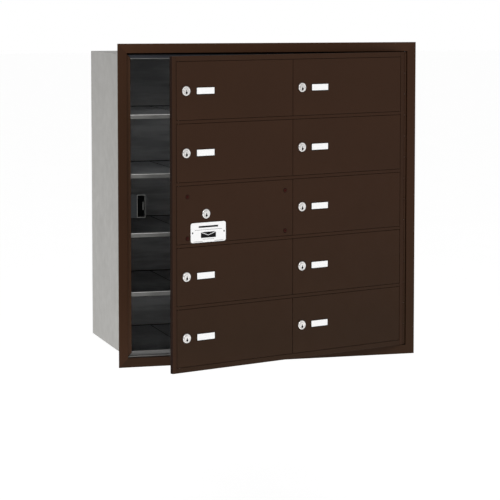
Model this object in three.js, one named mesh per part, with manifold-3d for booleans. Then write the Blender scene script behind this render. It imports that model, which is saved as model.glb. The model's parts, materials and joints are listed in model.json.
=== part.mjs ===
// Front-loading mailbox unit for a wall recess, with two columns and five rows.
// A trim frame surrounds a sheet-metal housing. A master door carries nine
// tenant doors and one fixed panel with the carrier's lock.
// Millimetres, +Z up, -Y towards the user, +X to the user's right.
// The origin is the centre of the trim frame in the wall plane.
import * as THREE from 'three';
import * as BufferGeometryUtils from 'three/addons/utils/BufferGeometryUtils.js';
import Module from 'manifold-3d';

const wasm = await Module();
wasm.setup();

// ---- Driving dimensions -------------------------------------------------

// Trim frame: L-shaped sections, mitred at the corners.
const FRAME_WIDTH = 741;
const FRAME_HEIGHT = 762;
const TRIM_FACE = 22;
const TRIM_THICK = 2.5;
const TRIM_LEG_DEPTH = 30;
const TRIM_BEVEL = 0.9;
const MITRE_CLEARANCE = 0.2;
const STOP_WIDTH = 11;
const STOP_FRONT = 11.2;
const STOP_THICK = 1.5;

// Housing: folded sheet panels behind the trim.
const HOUSING_WIDTH = 696;
const HOUSING_TOP = 355.5;
const HOUSING_BOTTOM = -358.5;
const HOUSING_FRONT = 13.2;
const HOUSING_DEPTH = 393.7;
const SHEET = 1.5;

// Rows, columns and shelves.
const ROWS = 5;
const COLUMNS = 2;
const ROW_PITCH = 139.7;
const SHELF_THICK = 1.2;
const SHELF_FRONT = 15.2;
const SHELF_WIDTH = 689;
const SHELF_ABOVE_RAIL = 5;
const LIP_HEIGHT = 10;
const PARTITION_FRONT = 36;
const FIXED_ROW = 2;
const FIXED_COLUMN = 0;

// Master door.
const DOOR_LEFT = -347;
const DOOR_RIGHT = 338.6;
const DOOR_HEIGHT = 715;
const DOOR_OPEN_DEGREES = 20.5;
const STILE_DEPTH = 10;
const STILE_FACE = 11;
const REBATE_WIDTH = 9;
const REBATE_FRONT = 4.6;
const RAIL_FACE = 7;
const RAIL_THICK = 4.3;
const MULLION_LEFT = -17;
const MULLION_RIGHT = 2;

// Tenant doors and the fixed panel.
const LEAF_WIDTH = 330.4;
const LEAF_THICK = 3;
const LEAF_GAP = 0.8;
const CENTRE_GAP = 1;
const PIVOT_INSET = 2;
const PIVOT_RADIUS = 1;
const PIVOT_LENGTH = 2.6;
const PIVOT_BORE_RADIUS = 1.3;
const HINGE_EDGE_BEVEL = 0.6;

// Cam locks on the tenant doors.
const LOCK_INSET = 25;
const LOCK_HEAD_RADIUS = 11;
const LOCK_HEAD_PROUD = 4.2;
const LOCK_HEAD_BEVEL = 1.2;
const LOCK_HEAD_BEVEL_DEPTH = 1.6;
const LOCK_BODY_RADIUS = 9.5;
const LOCK_BODY_END = 10.6;
const PLUG_RADIUS = 7.2;
const PLUG_PROUD = 0.4;
const KEYWAY_WIDTH = 1.5;
const KEYWAY_TOP = 1.6;
const KEYWAY_BOTTOM = -4.7;
const KEYWAY_END_RADIUS = 1.5;
const KEYWAY_DEPTH = 2.5;
const CAM_FRONT = 11;
const CAM_THICK = 1.8;
const CAM_WIDTH = 11;
const CAM_REACH = 26;
const CAM_CHAMFER = 3;
const CAM_END_RADIUS = 6.7;
const CAM_NUT_RADIUS = 5.2;
const CAM_NUT_END = 15;

// Carrier's lock and its sliding latch.
const MASTER_LOCK_X = -253.7;
const MASTER_HEAD_RADIUS = 11.8;
const MASTER_HEAD_PROUD = 1.4;
const MASTER_HEAD_BEVEL = 0.8;
const MASTER_HEAD_BEVEL_DEPTH = 0.6;
const MASTER_SLEEVE_END = 5;
const LATCH_FRONT = 18;
const LATCH_THICK = 3;
const LATCH_HALF_HEIGHT = 18;
const LATCH_TIP = -301;
const LATCH_TAIL = -230;
const LATCH_TIP_CHAMFER = 4;
const LATCH_TRAVEL = 18;
const CRANK_RADIUS = LATCH_TRAVEL / Math.SQRT2;
const CRANK_DISC_RADIUS = 16;
const CRANK_DISC_THICK = 3;
const CRANK_PIN_RADIUS = 2;
const PIN_SLOT_HALF = 3.4;
const PIN_SLOT_END = 0.9;
const GUIDE_LEFT = -296;
const GUIDE_RIGHT = -232;
const GUIDE_SHEET = 1.8;
const GUIDE_WALL = 1.5;
const GUIDE_LIP = 3;
const GUIDE_FLANGE = 4;

// Label plate under the carrier's lock.
const PLATE_WIDTH = 98;
const PLATE_HEIGHT = 45;
const PLATE_THICK = 1;
const PLATE_CORNER = 6;
const PLATE_X = -248.7;
const PLATE_BELOW_LOCK = 42;

// Strike bracket on the left side panel.
const STRIKE_FRONT = 14.6;
const STRIKE_THICK = 1.6;
const STRIKE_DEPTH = 30;
const STRIKE_RIGHT = -304;
const STRIKE_TOP = 25;
const STRIKE_BOTTOM = -33;
const SLOT_LEFT = -322;
const SLOT_RIGHT = -308;
const SLOT_MARGIN = 4;

// Continuous hinge on the right.
const HINGE_X = 343.25;
const HINGE_Y = 4.25;
const KNUCKLE_RADIUS = 4.1;
const CLEARANCE_RADIUS = 4.55;
const KNUCKLE_BORE = 2.1;
const HINGE_PIN_RADIUS = 1.6;
const KNUCKLE_COUNT = 14;
const KNUCKLE_GAP = 0.5;
const HINGE_SHEET = 1.1;
const FIXED_LEAF_END = 34;
const FIXED_LEAF_HALF_HEIGHT = 343;
const MOVING_LEAF_LEFT = 326;

// Clearance between pieces that touch, and how far a cutting tool or an
// overlap runs past a face.
const TOUCH = 0.3;
const OVERRUN = 1;

// Sides of the round shapes.
const ROUND = 20;
const CORNER_SEGMENTS = 6;
const KNUCKLE_SIDES = 12;
const PIN_SIDES = 8;
const NUT_SIDES = 6;
const WELD_DISTANCE = 1e-4;

// ---- Derived sizes ------------------------------------------------------

const HOUSING_HALF_WIDTH = HOUSING_WIDTH / 2;
const PANEL_HALF_SPAN = HOUSING_HALF_WIDTH - SHEET - TOUCH;
const BACK_INNER = HOUSING_DEPTH - SHEET;
const BOX_BACK = BACK_INNER - TOUCH;
const LEAF_HEIGHT = ROW_PITCH - RAIL_FACE - 2 * LEAF_GAP;
const LEFT_LEAF_LEFT = DOOR_LEFT + STILE_FACE + LEAF_GAP;
const RIGHT_LEAF_LEFT = LEFT_LEAF_LEFT + LEAF_WIDTH + CENTRE_GAP;
const STILE_INNER_LEFT = DOOR_LEFT + STILE_FACE;
const STILE_INNER_RIGHT = RIGHT_LEAF_LEFT + LEAF_WIDTH + LEAF_GAP;
const SLOT_MEET = (PARTITION_FRONT + BOX_BACK) / 2;
const LOCK_SEAT_RADIUS = LOCK_BODY_RADIUS + TOUCH;

const leafLeft = (column) => (column === 0 ? LEFT_LEAF_LEFT : RIGHT_LEAF_LEFT);
const rowCentre = (row) => ((ROWS - 1) / 2 - row) * ROW_PITCH;
const railCentre = (rail) => rowCentre(rail) - ROW_PITCH / 2;
const shelfTop = (shelf) => railCentre(shelf - 1) + SHELF_ABOVE_RAIL;

// ---- Finishes -----------------------------------------------------------

function finish(color, roughness, metalness) {
  return () => new THREE.MeshStandardMaterial({ color, roughness, metalness });
}
const bronzePaint = finish(0x3a281f, 0.45, 0.2);
const bareAluminium = finish(0xa7a5a1, 0.5, 0.8);
const satinChrome = finish(0xb4afa8, 0.3, 1);
const zincSteel = finish(0x8f9092, 0.4, 0.9);
const whitePlate = finish(0xeeeeec, 0.4, 0);

// ---- Geometry helpers ---------------------------------------------------

const X = new THREE.Vector3(1, 0, 0);
const Y = new THREE.Vector3(0, 1, 0);
const Z = new THREE.Vector3(0, 0, 1);

function box(x0, x1, y0, y1, z0, z1) {
  const geometry = new THREE.BoxGeometry(x1 - x0, y1 - y0, z1 - z0);
  return geometry.translate((x0 + x1) / 2, (y0 + y1) / 2, (z0 + z1) / 2);
}

function outline(points) {
  return new THREE.Shape(points.map(([a, b]) => new THREE.Vector2(a, b)));
}

function extrude(shape, depth) {
  const curveSegments = CORNER_SEGMENTS;
  return new THREE.ExtrudeGeometry(shape, { depth, bevelEnabled: false, curveSegments });
}

// Extrudes an outline drawn in (y, z) from x0 to x1.
function extrudeX(points, x0, x1) {
  const geometry = extrude(outline(points), x1 - x0).translate(0, 0, x0);
  return geometry.applyMatrix4(new THREE.Matrix4().makeBasis(Y, Z, X));
}

// Extrudes a shape drawn in (x, z) from y0 to y1.
function extrudeY(shape, y0, y1) {
  const geometry = extrude(shape, y1 - y0).translate(0, 0, -y1);
  return geometry.applyMatrix4(new THREE.Matrix4().makeBasis(X, Z, Y.clone().negate()));
}

// Extrudes an outline drawn in (x, y) from z0 to z1.
function extrudeZ(points, z0, z1) {
  return extrude(outline(points), z1 - z0).translate(0, 0, z0);
}

function cylinderY(radius, y0, y1, x = 0, z = 0, sides = ROUND) {
  const geometry = new THREE.CylinderGeometry(radius, radius, y1 - y0, sides);
  return geometry.translate(x, (y0 + y1) / 2, z);
}

function cylinderZ(radius, z0, z1, x, y, sides) {
  const geometry = new THREE.CylinderGeometry(radius, radius, z1 - z0, sides);
  return geometry.rotateX(Math.PI / 2).translate(x, y, (z0 + z1) / 2);
}

function toSolid(geometry) {
  const bare = geometry.clone();
  bare.deleteAttribute('normal');
  bare.deleteAttribute('uv');
  const merged = BufferGeometryUtils.mergeVertices(bare, WELD_DISTANCE);
  const vertProperties = new Float32Array(merged.attributes.position.array);
  const triVerts = new Uint32Array(merged.index.array);
  return new wasm.Manifold(new wasm.Mesh({ numProp: 3, vertProperties, triVerts }));
}

function toGeometry(solid) {
  const mesh = solid.getMesh();
  const geometry = new THREE.BufferGeometry();
  geometry.setAttribute('position', new THREE.BufferAttribute(mesh.vertProperties, 3));
  geometry.setIndex(new THREE.BufferAttribute(mesh.triVerts, 1));
  geometry.computeVertexNormals();
  return geometry;
}

function join(first, ...others) {
  const joined = others.reduce((solid, other) => solid.add(toSolid(other)), toSolid(first));
  return toGeometry(joined);
}

function cut(base, ...tools) {
  const remaining = tools.reduce((solid, tool) => solid.subtract(toSolid(tool)), toSolid(base));
  return toGeometry(remaining);
}

function piece(name, geometry, material) {
  const mesh = new THREE.Mesh(geometry, material());
  mesh.name = name;
  return mesh;
}

// ---- Housing ------------------------------------------------------------

function sidePanel(side) {
  const outer = side * HOUSING_HALF_WIDTH;
  const inner = side * (HOUSING_HALF_WIDTH - SHEET);
  const low = Math.min(outer, inner);
  const high = Math.max(outer, inner);
  return box(low, high, HOUSING_FRONT, BOX_BACK, HOUSING_BOTTOM, HOUSING_TOP);
}

// A flat sheet with its front edge turned down to make a lip.
function lippedSheetProfile(front, top, thick, lip) {
  return [
    [front, top - lip],
    [front + thick, top - lip],
    [front + thick, top - thick],
    [BOX_BACK, top - thick],
    [BOX_BACK, top],
    [front, top],
  ];
}

function topPanel() {
  const profile = lippedSheetProfile(HOUSING_FRONT, HOUSING_TOP, SHEET, LIP_HEIGHT);
  return extrudeX(profile, -PANEL_HALF_SPAN, PANEL_HALF_SPAN);
}

function bottomPanel() {
  const top = HOUSING_BOTTOM + SHEET;
  return box(-PANEL_HALF_SPAN, PANEL_HALF_SPAN, HOUSING_FRONT, BOX_BACK, HOUSING_BOTTOM, top);
}

function backPanel() {
  const half = HOUSING_HALF_WIDTH;
  return box(-half, half, BACK_INNER, HOUSING_DEPTH, HOUSING_BOTTOM, HOUSING_TOP);
}

// Shelves are slotted from behind and the partition from the front, so they
// interlock. The lowest shelf is the floor, and has no slot.
function shelf(number) {
  const profile = lippedSheetProfile(SHELF_FRONT, shelfTop(number), SHELF_THICK, LIP_HEIGHT);
  const sheet = extrudeX(profile, -SHELF_WIDTH / 2, SHELF_WIDTH / 2);
  if (number === ROWS) {
    return sheet;
  }
  const slotHalf = SHELF_THICK / 2 + TOUCH;
  const top = shelfTop(number);
  const slot = box(-slotHalf, slotHalf, SLOT_MEET, HOUSING_DEPTH, top - LIP_HEIGHT, top + OVERRUN);
  return cut(sheet, slot);
}

function partition() {
  const bottom = shelfTop(ROWS) + TOUCH;
  const top = HOUSING_TOP - SHEET - TOUCH;
  const points = [[BOX_BACK, bottom], [BOX_BACK, top], [PARTITION_FRONT, top]];
  for (let number = 1; number < ROWS; number += 1) {
    const slotTop = shelfTop(number) + TOUCH;
    const slotBottom = shelfTop(number) - SHELF_THICK - TOUCH;
    points.push([PARTITION_FRONT, slotTop], [SLOT_MEET + TOUCH, slotTop]);
    points.push([SLOT_MEET + TOUCH, slotBottom], [PARTITION_FRONT, slotBottom]);
  }
  points.push([PARTITION_FRONT, bottom]);
  return extrudeX(points, -SHELF_THICK / 2, SHELF_THICK / 2);
}

function strike() {
  const root = -HOUSING_HALF_WIDTH + SHEET + TOUCH;
  const angle = extrudeZ([
    [root, STRIKE_FRONT],
    [STRIKE_RIGHT, STRIKE_FRONT],
    [STRIKE_RIGHT, STRIKE_FRONT + STRIKE_THICK],
    [root + STRIKE_THICK, STRIKE_FRONT + STRIKE_THICK],
    [root + STRIKE_THICK, STRIKE_FRONT + STRIKE_DEPTH],
    [root, STRIKE_FRONT + STRIKE_DEPTH],
  ], STRIKE_BOTTOM, STRIKE_TOP);
  const back = STRIKE_FRONT + 2 * STRIKE_THICK;
  const slotBottom = STRIKE_BOTTOM + SLOT_MARGIN;
  const slotTop = STRIKE_TOP - SLOT_MARGIN;
  return cut(angle, box(SLOT_LEFT, SLOT_RIGHT, 0, back, slotBottom, slotTop));
}

// ---- Trim frame ---------------------------------------------------------

// Profile points are (distance in from the outer edge, depth from the front).
function trimProfile(hasStop) {
  const legOuter = TRIM_FACE - TRIM_THICK;
  const points = [
    [0, TRIM_BEVEL],
    [TRIM_BEVEL, 0],
    [TRIM_FACE, 0],
  ];
  if (hasStop) {
    points.push(
      [TRIM_FACE, STOP_FRONT],
      [TRIM_FACE + STOP_WIDTH, STOP_FRONT],
      [TRIM_FACE + STOP_WIDTH, STOP_FRONT + STOP_THICK],
      [TRIM_FACE, STOP_FRONT + STOP_THICK],
    );
  }
  points.push([TRIM_FACE, TRIM_LEG_DEPTH], [legOuter, TRIM_LEG_DEPTH]);
  points.push([legOuter, TRIM_THICK], [0, TRIM_THICK]);
  return points;
}

// Extrudes a trim section along one side of the frame. It is drawn one unit
// long each way and stretched. Each end follows the 45 degree mitre, so a point
// further in from the edge has a shorter run.
function mitredTrim(inward, halfLength, edgeDistance, hasStop = false) {
  const geometry = extrude(outline(trimProfile(hasStop)), 2).translate(0, 0, -1);
  const position = geometry.attributes.position;
  for (let i = 0; i < position.count; i += 1) {
    const reach = halfLength - MITRE_CLEARANCE - position.getX(i);
    position.setZ(i, position.getZ(i) * reach);
  }
  const along = new THREE.Vector3().crossVectors(inward, Y);
  geometry.applyMatrix4(new THREE.Matrix4().makeBasis(inward, Y, along));
  return geometry.translate(-inward.x * edgeDistance, 0, -inward.z * edgeDistance);
}

// ---- Continuous hinge ---------------------------------------------------

function knuckleSpan(index) {
  const length = DOOR_HEIGHT / KNUCKLE_COUNT;
  const low = -DOOR_HEIGHT / 2 + index * length;
  return [low + KNUCKLE_GAP / 2, low + length - KNUCKLE_GAP / 2];
}

function hingeLeaf(firstKnuckle, plate) {
  const knuckles = [];
  const clearances = [];
  const half = DOOR_HEIGHT / 2;
  for (let index = 0; index < KNUCKLE_COUNT; index += 1) {
    const [low, high] = knuckleSpan(index);
    if (index % 2 === firstKnuckle) {
      knuckles.push(cylinderZ(KNUCKLE_RADIUS, low, high, HINGE_X, HINGE_Y, KNUCKLE_SIDES));
    } else {
      const from = low - KNUCKLE_GAP;
      const to = high + KNUCKLE_GAP;
      clearances.push(cylinderZ(CLEARANCE_RADIUS, from, to, HINGE_X, HINGE_Y, KNUCKLE_SIDES));
    }
  }
  const bore = cylinderZ(KNUCKLE_BORE, -half - OVERRUN, half + OVERRUN, HINGE_X, HINGE_Y, PIN_SIDES);
  return cut(join(plate, ...knuckles), bore, ...clearances);
}

// The fixed leaf's plate stops short of the top panel's lip.
function fixedHingeLeaf() {
  const half = FIXED_LEAF_HALF_HEIGHT;
  const left = HOUSING_HALF_WIDTH - SHEET - TOUCH - HINGE_SHEET;
  return hingeLeaf(0, box(left, left + HINGE_SHEET, HINGE_Y, FIXED_LEAF_END, -half, half));
}

// The moving leaf runs down the edge of the right stile and along its back.
function movingHingeLeaf() {
  const half = DOOR_HEIGHT / 2 - TOUCH;
  const left = DOOR_RIGHT + TOUCH;
  const front = STILE_DEPTH + TOUCH;
  const plate = extrudeZ([
    [left, HINGE_Y],
    [left + HINGE_SHEET, HINGE_Y],
    [left + HINGE_SHEET, front + HINGE_SHEET],
    [MOVING_LEAF_LEFT, front + HINGE_SHEET],
    [MOVING_LEAF_LEFT, front],
    [left, front],
  ], -half, half);
  return hingeLeaf(1, plate);
}

function hingePin() {
  const half = DOOR_HEIGHT / 2 - TOUCH;
  return cylinderZ(HINGE_PIN_RADIUS, -half, half, HINGE_X, HINGE_Y, PIN_SIDES);
}

// ---- Master door frame --------------------------------------------------

// A stile is a bar with a rebate behind the doors. Direction is +1 where the
// doors lie to its right.
function stile(outer, inner, direction) {
  const rebate = inner + direction * REBATE_WIDTH;
  const points = [
    [outer, 0],
    [inner, 0],
    [inner, REBATE_FRONT],
    [rebate, REBATE_FRONT],
    [rebate, STILE_DEPTH],
    [outer, STILE_DEPTH],
  ];
  return extrudeZ(points, -DOOR_HEIGHT / 2, DOOR_HEIGHT / 2);
}

function mullion() {
  const half = DOOR_HEIGHT / 2;
  return box(MULLION_LEFT, MULLION_RIGHT, REBATE_FRONT, STILE_DEPTH, -half, half);
}

function hingeEdge(column) {
  return leafLeft(column) + LEAF_WIDTH - PIVOT_INSET;
}

function pivotBore(column, z0, z1) {
  return cylinderZ(PIVOT_BORE_RADIUS, z0, z1, hingeEdge(column), PIVOT_INSET, PIN_SIDES);
}

function hasTenantDoor(row, column) {
  return row >= 0 && row < ROWS && !(row === FIXED_ROW && column === FIXED_COLUMN);
}

// A rail lies between the stiles, with a pivot bore wherever a tenant door
// hangs above or below it. Row -1 and row 5 don't exist.
function rail(rowAbove, z0, z1) {
  const bar = box(STILE_INNER_LEFT + TOUCH, STILE_INNER_RIGHT - TOUCH, 0, RAIL_THICK, z0, z1);
  const bores = [];
  const depth = PIVOT_LENGTH + TOUCH - LEAF_GAP / 2;
  for (let column = 0; column < COLUMNS; column += 1) {
    if (hasTenantDoor(rowAbove, column)) {
      bores.push(pivotBore(column, z1 - depth, z1 + OVERRUN));
    }
    if (hasTenantDoor(rowAbove + 1, column)) {
      bores.push(pivotBore(column, z0 - OVERRUN, z0 + depth));
    }
  }
  return cut(bar, ...bores);
}

function topRail() {
  return rail(-1, rowCentre(0) + ROW_PITCH / 2 - RAIL_FACE / 2, DOOR_HEIGHT / 2);
}

function bottomRail() {
  return rail(ROWS - 1, -DOOR_HEIGHT / 2, rowCentre(ROWS - 1) - ROW_PITCH / 2 + RAIL_FACE / 2);
}

function middleRail(index) {
  const centre = railCentre(index);
  return rail(index, centre - RAIL_FACE / 2, centre + RAIL_FACE / 2);
}

// ---- Tenant doors -------------------------------------------------------

// The hinge edge has a small bevel in front so that it clears its neighbour
// as it turns.
function leafPlate(column, row) {
  const left = leafLeft(column);
  const right = left + LEAF_WIDTH;
  const z = rowCentre(row);
  return extrudeZ([
    [left, 0],
    [right - HINGE_EDGE_BEVEL, 0],
    [right, HINGE_EDGE_BEVEL],
    [right, LEAF_THICK],
    [left, LEAF_THICK],
  ], z - LEAF_HEIGHT / 2, z + LEAF_HEIGHT / 2);
}

// The hole through a leaf for the sleeve of its lock.
function lockSeat(x, z) {
  return cylinderY(LOCK_SEAT_RADIUS, -OVERRUN, LEAF_THICK + OVERRUN, x, z);
}

function tenantLeaf(column, row) {
  const z = rowCentre(row);
  const reach = LEAF_HEIGHT / 2 + PIVOT_LENGTH;
  const pivot = cylinderZ(PIVOT_RADIUS, z - reach, z + reach, hingeEdge(column), PIVOT_INSET, PIN_SIDES);
  const lockX = leafLeft(column) + LOCK_INSET;
  return cut(join(leafPlate(column, row), pivot), lockSeat(lockX, z));
}

// A lathe profile is (radius, depth); it is turned about the lock's axis.
function turned(points, sides = ROUND) {
  const profile = points.map(([radius, depth]) => new THREE.Vector2(radius, depth));
  return new THREE.LatheGeometry(profile, sides);
}

// The lock body is a headed sleeve that holds the plug.
function lockBody() {
  const bore = PLUG_RADIUS + TOUCH;
  return turned([
    [bore, -LOCK_HEAD_PROUD],
    [LOCK_HEAD_RADIUS - LOCK_HEAD_BEVEL, -LOCK_HEAD_PROUD],
    [LOCK_HEAD_RADIUS, -LOCK_HEAD_PROUD + LOCK_HEAD_BEVEL_DEPTH],
    [LOCK_HEAD_RADIUS, -TOUCH],
    [LOCK_BODY_RADIUS, -TOUCH],
    [LOCK_BODY_RADIUS, LOCK_BODY_END],
    [bore, LOCK_BODY_END],
    [bore, -LOCK_HEAD_PROUD],
  ]);
}

// The keyway is an upright slot that widens at its lower end.
function keywayTools(face) {
  const half = KEYWAY_WIDTH / 2;
  const back = face + KEYWAY_DEPTH;
  return [
    box(-half, half, face - OVERRUN, back, KEYWAY_BOTTOM, KEYWAY_TOP),
    cylinderY(KEYWAY_END_RADIUS, face - OVERRUN, back, 0, KEYWAY_BOTTOM, PIN_SIDES),
  ];
}

// The plug carries the cam, which hangs down when the lock is open.
function lockPlug() {
  const face = -LOCK_HEAD_PROUD - PLUG_PROUD;
  const barrel = cylinderY(PLUG_RADIUS, face, CAM_FRONT + CAM_THICK / 2);
  const nut = cylinderY(CAM_NUT_RADIUS, CAM_FRONT, CAM_NUT_END, 0, 0, NUT_SIDES);
  const shape = new THREE.Shape();
  const half = CAM_WIDTH / 2;
  shape.absarc(0, 0, CAM_END_RADIUS, 0, Math.PI);
  shape.lineTo(-half, -CAM_REACH + CAM_CHAMFER);
  shape.lineTo(-half + CAM_CHAMFER, -CAM_REACH);
  shape.lineTo(half - CAM_CHAMFER, -CAM_REACH);
  shape.lineTo(half, -CAM_REACH + CAM_CHAMFER);
  shape.closePath();
  const cam = extrudeY(shape, CAM_FRONT, CAM_FRONT + CAM_THICK);
  return cut(join(barrel, cam, nut), ...keywayTools(face));
}

// ---- Carrier's lock -----------------------------------------------------

function lockPanel() {
  const z = rowCentre(FIXED_ROW);
  return cut(leafPlate(FIXED_COLUMN, FIXED_ROW), lockSeat(MASTER_LOCK_X, z));
}

// The lock body is a sleeve in front of a channel that guides the latch.
function masterLockBody() {
  const bore = PLUG_RADIUS + TOUCH;
  const sleeve = turned([
    [bore, -MASTER_HEAD_PROUD],
    [MASTER_HEAD_RADIUS - MASTER_HEAD_BEVEL, -MASTER_HEAD_PROUD],
    [MASTER_HEAD_RADIUS, -MASTER_HEAD_PROUD + MASTER_HEAD_BEVEL_DEPTH],
    [MASTER_HEAD_RADIUS, -TOUCH],
    [LOCK_BODY_RADIUS, -TOUCH],
    [LOCK_BODY_RADIUS, MASTER_SLEEVE_END],
    [bore, MASTER_SLEEVE_END],
    [bore, -MASTER_HEAD_PROUD],
  ]).translate(MASTER_LOCK_X, 0, rowCentre(FIXED_ROW));
  const base = LEAF_THICK + TOUCH;
  const floor = base + GUIDE_SHEET;
  const inner = LATCH_HALF_HEIGHT + TOUCH;
  const wall = inner - GUIDE_WALL;
  const lip = inner - GUIDE_LIP;
  const outer = inner + GUIDE_FLANGE;
  const lipFront = LATCH_FRONT + LATCH_THICK + TOUCH;
  const lipBack = lipFront + GUIDE_SHEET;
  const ledge = LATCH_FRONT - TOUCH;
  const lowerHalf = [
    [base, -outer],
    [lipBack, -outer],
    [lipBack, -lip],
    [lipFront, -lip],
    [lipFront, -inner],
    [ledge, -inner],
    [ledge, -wall],
    [floor, -wall],
  ];
  const upperHalf = lowerHalf.map(([y, z]) => [y, -z]).reverse();
  const channel = extrudeX([...lowerHalf, ...upperHalf], GUIDE_LEFT, GUIDE_RIGHT);
  const passage = cylinderY(bore, 0, floor + OVERRUN, MASTER_LOCK_X, rowCentre(FIXED_ROW));
  return cut(join(sleeve, channel), passage);
}

// The plug turns a disc whose pin drives the latch. At rest the pin stands
// 45 degrees right of the top, with the latch drawn back.
function masterLockPlug() {
  const face = -MASTER_HEAD_PROUD - TOUCH;
  const discBack = LATCH_FRONT - TOUCH;
  const discFront = discBack - CRANK_DISC_THICK;
  const side = CRANK_RADIUS * Math.SQRT1_2;
  const barrel = cylinderY(PLUG_RADIUS, face, discFront + OVERRUN);
  const disc = cylinderY(CRANK_DISC_RADIUS, discFront, discBack);
  const pinBack = LATCH_FRONT + LATCH_THICK - TOUCH;
  const pin = cylinderY(CRANK_PIN_RADIUS, discBack - OVERRUN, pinBack, side, side, PIN_SIDES);
  return cut(join(barrel, disc, pin), ...keywayTools(face));
}

// The latch has an upright slot for the crank pin and a tapered tip.
function masterLatch() {
  const half = LATCH_HALF_HEIGHT;
  const z = rowCentre(FIXED_ROW);
  const side = CRANK_RADIUS * Math.SQRT1_2;
  const chamfer = LATCH_TIP_CHAMFER;
  const back = LATCH_FRONT + LATCH_THICK;
  const plate = extrudeY(outline([
    [LATCH_TIP, z - half + chamfer],
    [LATCH_TIP + chamfer, z - half],
    [LATCH_TAIL, z - half],
    [LATCH_TAIL, z + half],
    [LATCH_TIP + chamfer, z + half],
    [LATCH_TIP, z + half - chamfer],
  ]), LATCH_FRONT, back);
  const slotX = MASTER_LOCK_X + side;
  const slotBottom = z + side - CRANK_PIN_RADIUS - PIN_SLOT_END;
  const slotTop = z + CRANK_RADIUS + CRANK_PIN_RADIUS + PIN_SLOT_END;
  const left = slotX - PIN_SLOT_HALF;
  const right = slotX + PIN_SLOT_HALF;
  const slot = box(left, right, LATCH_FRONT - OVERRUN, back + OVERRUN, slotBottom, slotTop);
  return cut(plate, slot);
}

function labelPlate() {
  const halfWidth = PLATE_WIDTH / 2;
  const halfHeight = PLATE_HEIGHT / 2;
  const flatX = halfWidth - PLATE_CORNER;
  const flatZ = halfHeight - PLATE_CORNER;
  const shape = new THREE.Shape();
  shape.absarc(flatX, flatZ, PLATE_CORNER, 0, Math.PI / 2);
  shape.absarc(-flatX, flatZ, PLATE_CORNER, Math.PI / 2, Math.PI);
  shape.absarc(-flatX, -flatZ, PLATE_CORNER, Math.PI, 1.5 * Math.PI);
  shape.absarc(flatX, -flatZ, PLATE_CORNER, 1.5 * Math.PI, 2 * Math.PI);
  shape.closePath();
  const z = rowCentre(FIXED_ROW) - PLATE_BELOW_LOCK;
  return extrudeY(shape, -TOUCH - PLATE_THICK, -TOUCH).translate(PLATE_X, 0, z);
}

// ---- Assembly -----------------------------------------------------------

const unit = new THREE.Group();
unit.position.y = -TRIM_THICK;

unit.add(
  piece('left_side_panel', sidePanel(-1), bareAluminium),
  piece('right_side_panel', sidePanel(1), bareAluminium),
  piece('top_panel', topPanel(), bareAluminium),
  piece('bottom_panel', bottomPanel(), bareAluminium),
  piece('back_panel', backPanel(), bareAluminium),
  piece('center_partition', partition(), bareAluminium),
  piece('latch_strike', strike(), zincSteel),
);
for (let number = 1; number <= ROWS; number += 1) {
  unit.add(piece(`shelf_${number}`, shelf(number), bareAluminium));
}

const up = Z.clone();
const down = Z.clone().negate();
const right = X.clone();
const left = X.clone().negate();
const halfWidth = FRAME_WIDTH / 2;
const halfHeight = FRAME_HEIGHT / 2;
unit.add(
  piece('trim_top', mitredTrim(down, halfWidth, halfHeight), bronzePaint),
  piece('trim_bottom', mitredTrim(up, halfWidth, halfHeight), bronzePaint),
  piece('trim_left', mitredTrim(right, halfHeight, halfWidth, true), bronzePaint),
  piece('trim_right', mitredTrim(left, halfHeight, halfWidth), bronzePaint),
  piece('hinge_fixed_leaf', fixedHingeLeaf(), bronzePaint),
  piece('hinge_pin', hingePin(), zincSteel),
);

// Everything on the master door is drawn with the door shut, and the whole
// group then turns about the hinge pin to where the door stands ajar.
const door = new THREE.Group();
door.add(
  piece('door_left_stile', stile(DOOR_LEFT, STILE_INNER_LEFT, 1), bronzePaint),
  piece('door_right_stile', stile(DOOR_RIGHT, STILE_INNER_RIGHT, -1), bronzePaint),
  piece('door_mullion', mullion(), bronzePaint),
  piece('door_top_rail', topRail(), bronzePaint),
  piece('door_bottom_rail', bottomRail(), bronzePaint),
  piece('hinge_moving_leaf', movingHingeLeaf(), bronzePaint),
  piece('lock_panel', lockPanel(), bronzePaint),
  piece('label_plate', labelPlate(), whitePlate),
  piece('master_lock_body', masterLockBody(), satinChrome),
  piece('master_latch', masterLatch(), zincSteel),
);
for (let index = 0; index < ROWS - 1; index += 1) {
  door.add(piece(`door_rail_${index + 1}`, middleRail(index), bronzePaint));
}

const masterPlug = piece('master_lock_plug', masterLockPlug(), satinChrome);
masterPlug.position.set(MASTER_LOCK_X, 0, rowCentre(FIXED_ROW));
door.add(masterPlug);

// Tenant doors are numbered down the left column, then down the right one.
let boxNumber = 0;
for (let column = 0; column < COLUMNS; column += 1) {
  for (let row = 0; row < ROWS; row += 1) {
    if (hasTenantDoor(row, column)) {
      boxNumber += 1;
      door.add(piece(`box_door_${boxNumber}`, tenantLeaf(column, row), bronzePaint));
      const body = piece(`box_lock_body_${boxNumber}`, lockBody(), satinChrome);
      const plug = piece(`box_lock_plug_${boxNumber}`, lockPlug(), satinChrome);
      for (const part of [body, plug]) {
        part.position.set(leafLeft(column) + LOCK_INSET, 0, rowCentre(row));
        door.add(part);
      }
    }
  }
}

const hinge = new THREE.Group();
hinge.position.set(HINGE_X, HINGE_Y, 0);
hinge.rotation.z = THREE.MathUtils.degToRad(DOOR_OPEN_DEGREES);
door.position.set(-HINGE_X, -HINGE_Y, 0);
hinge.add(door);
unit.add(hinge);

const model = new THREE.Group();
model.add(unit);

export default model;
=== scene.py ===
"""Finished looks of a recessed front-loading mailbox unit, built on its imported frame.

Lengths are in metres in the unit's own frame. Small sizes are written in
millimetres and multiplied by MM. Pieces of the master door are drawn with the
door shut, and DOOR_PLACE turns them to where the door stands ajar at rest.
"""

import json
import math

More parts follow.
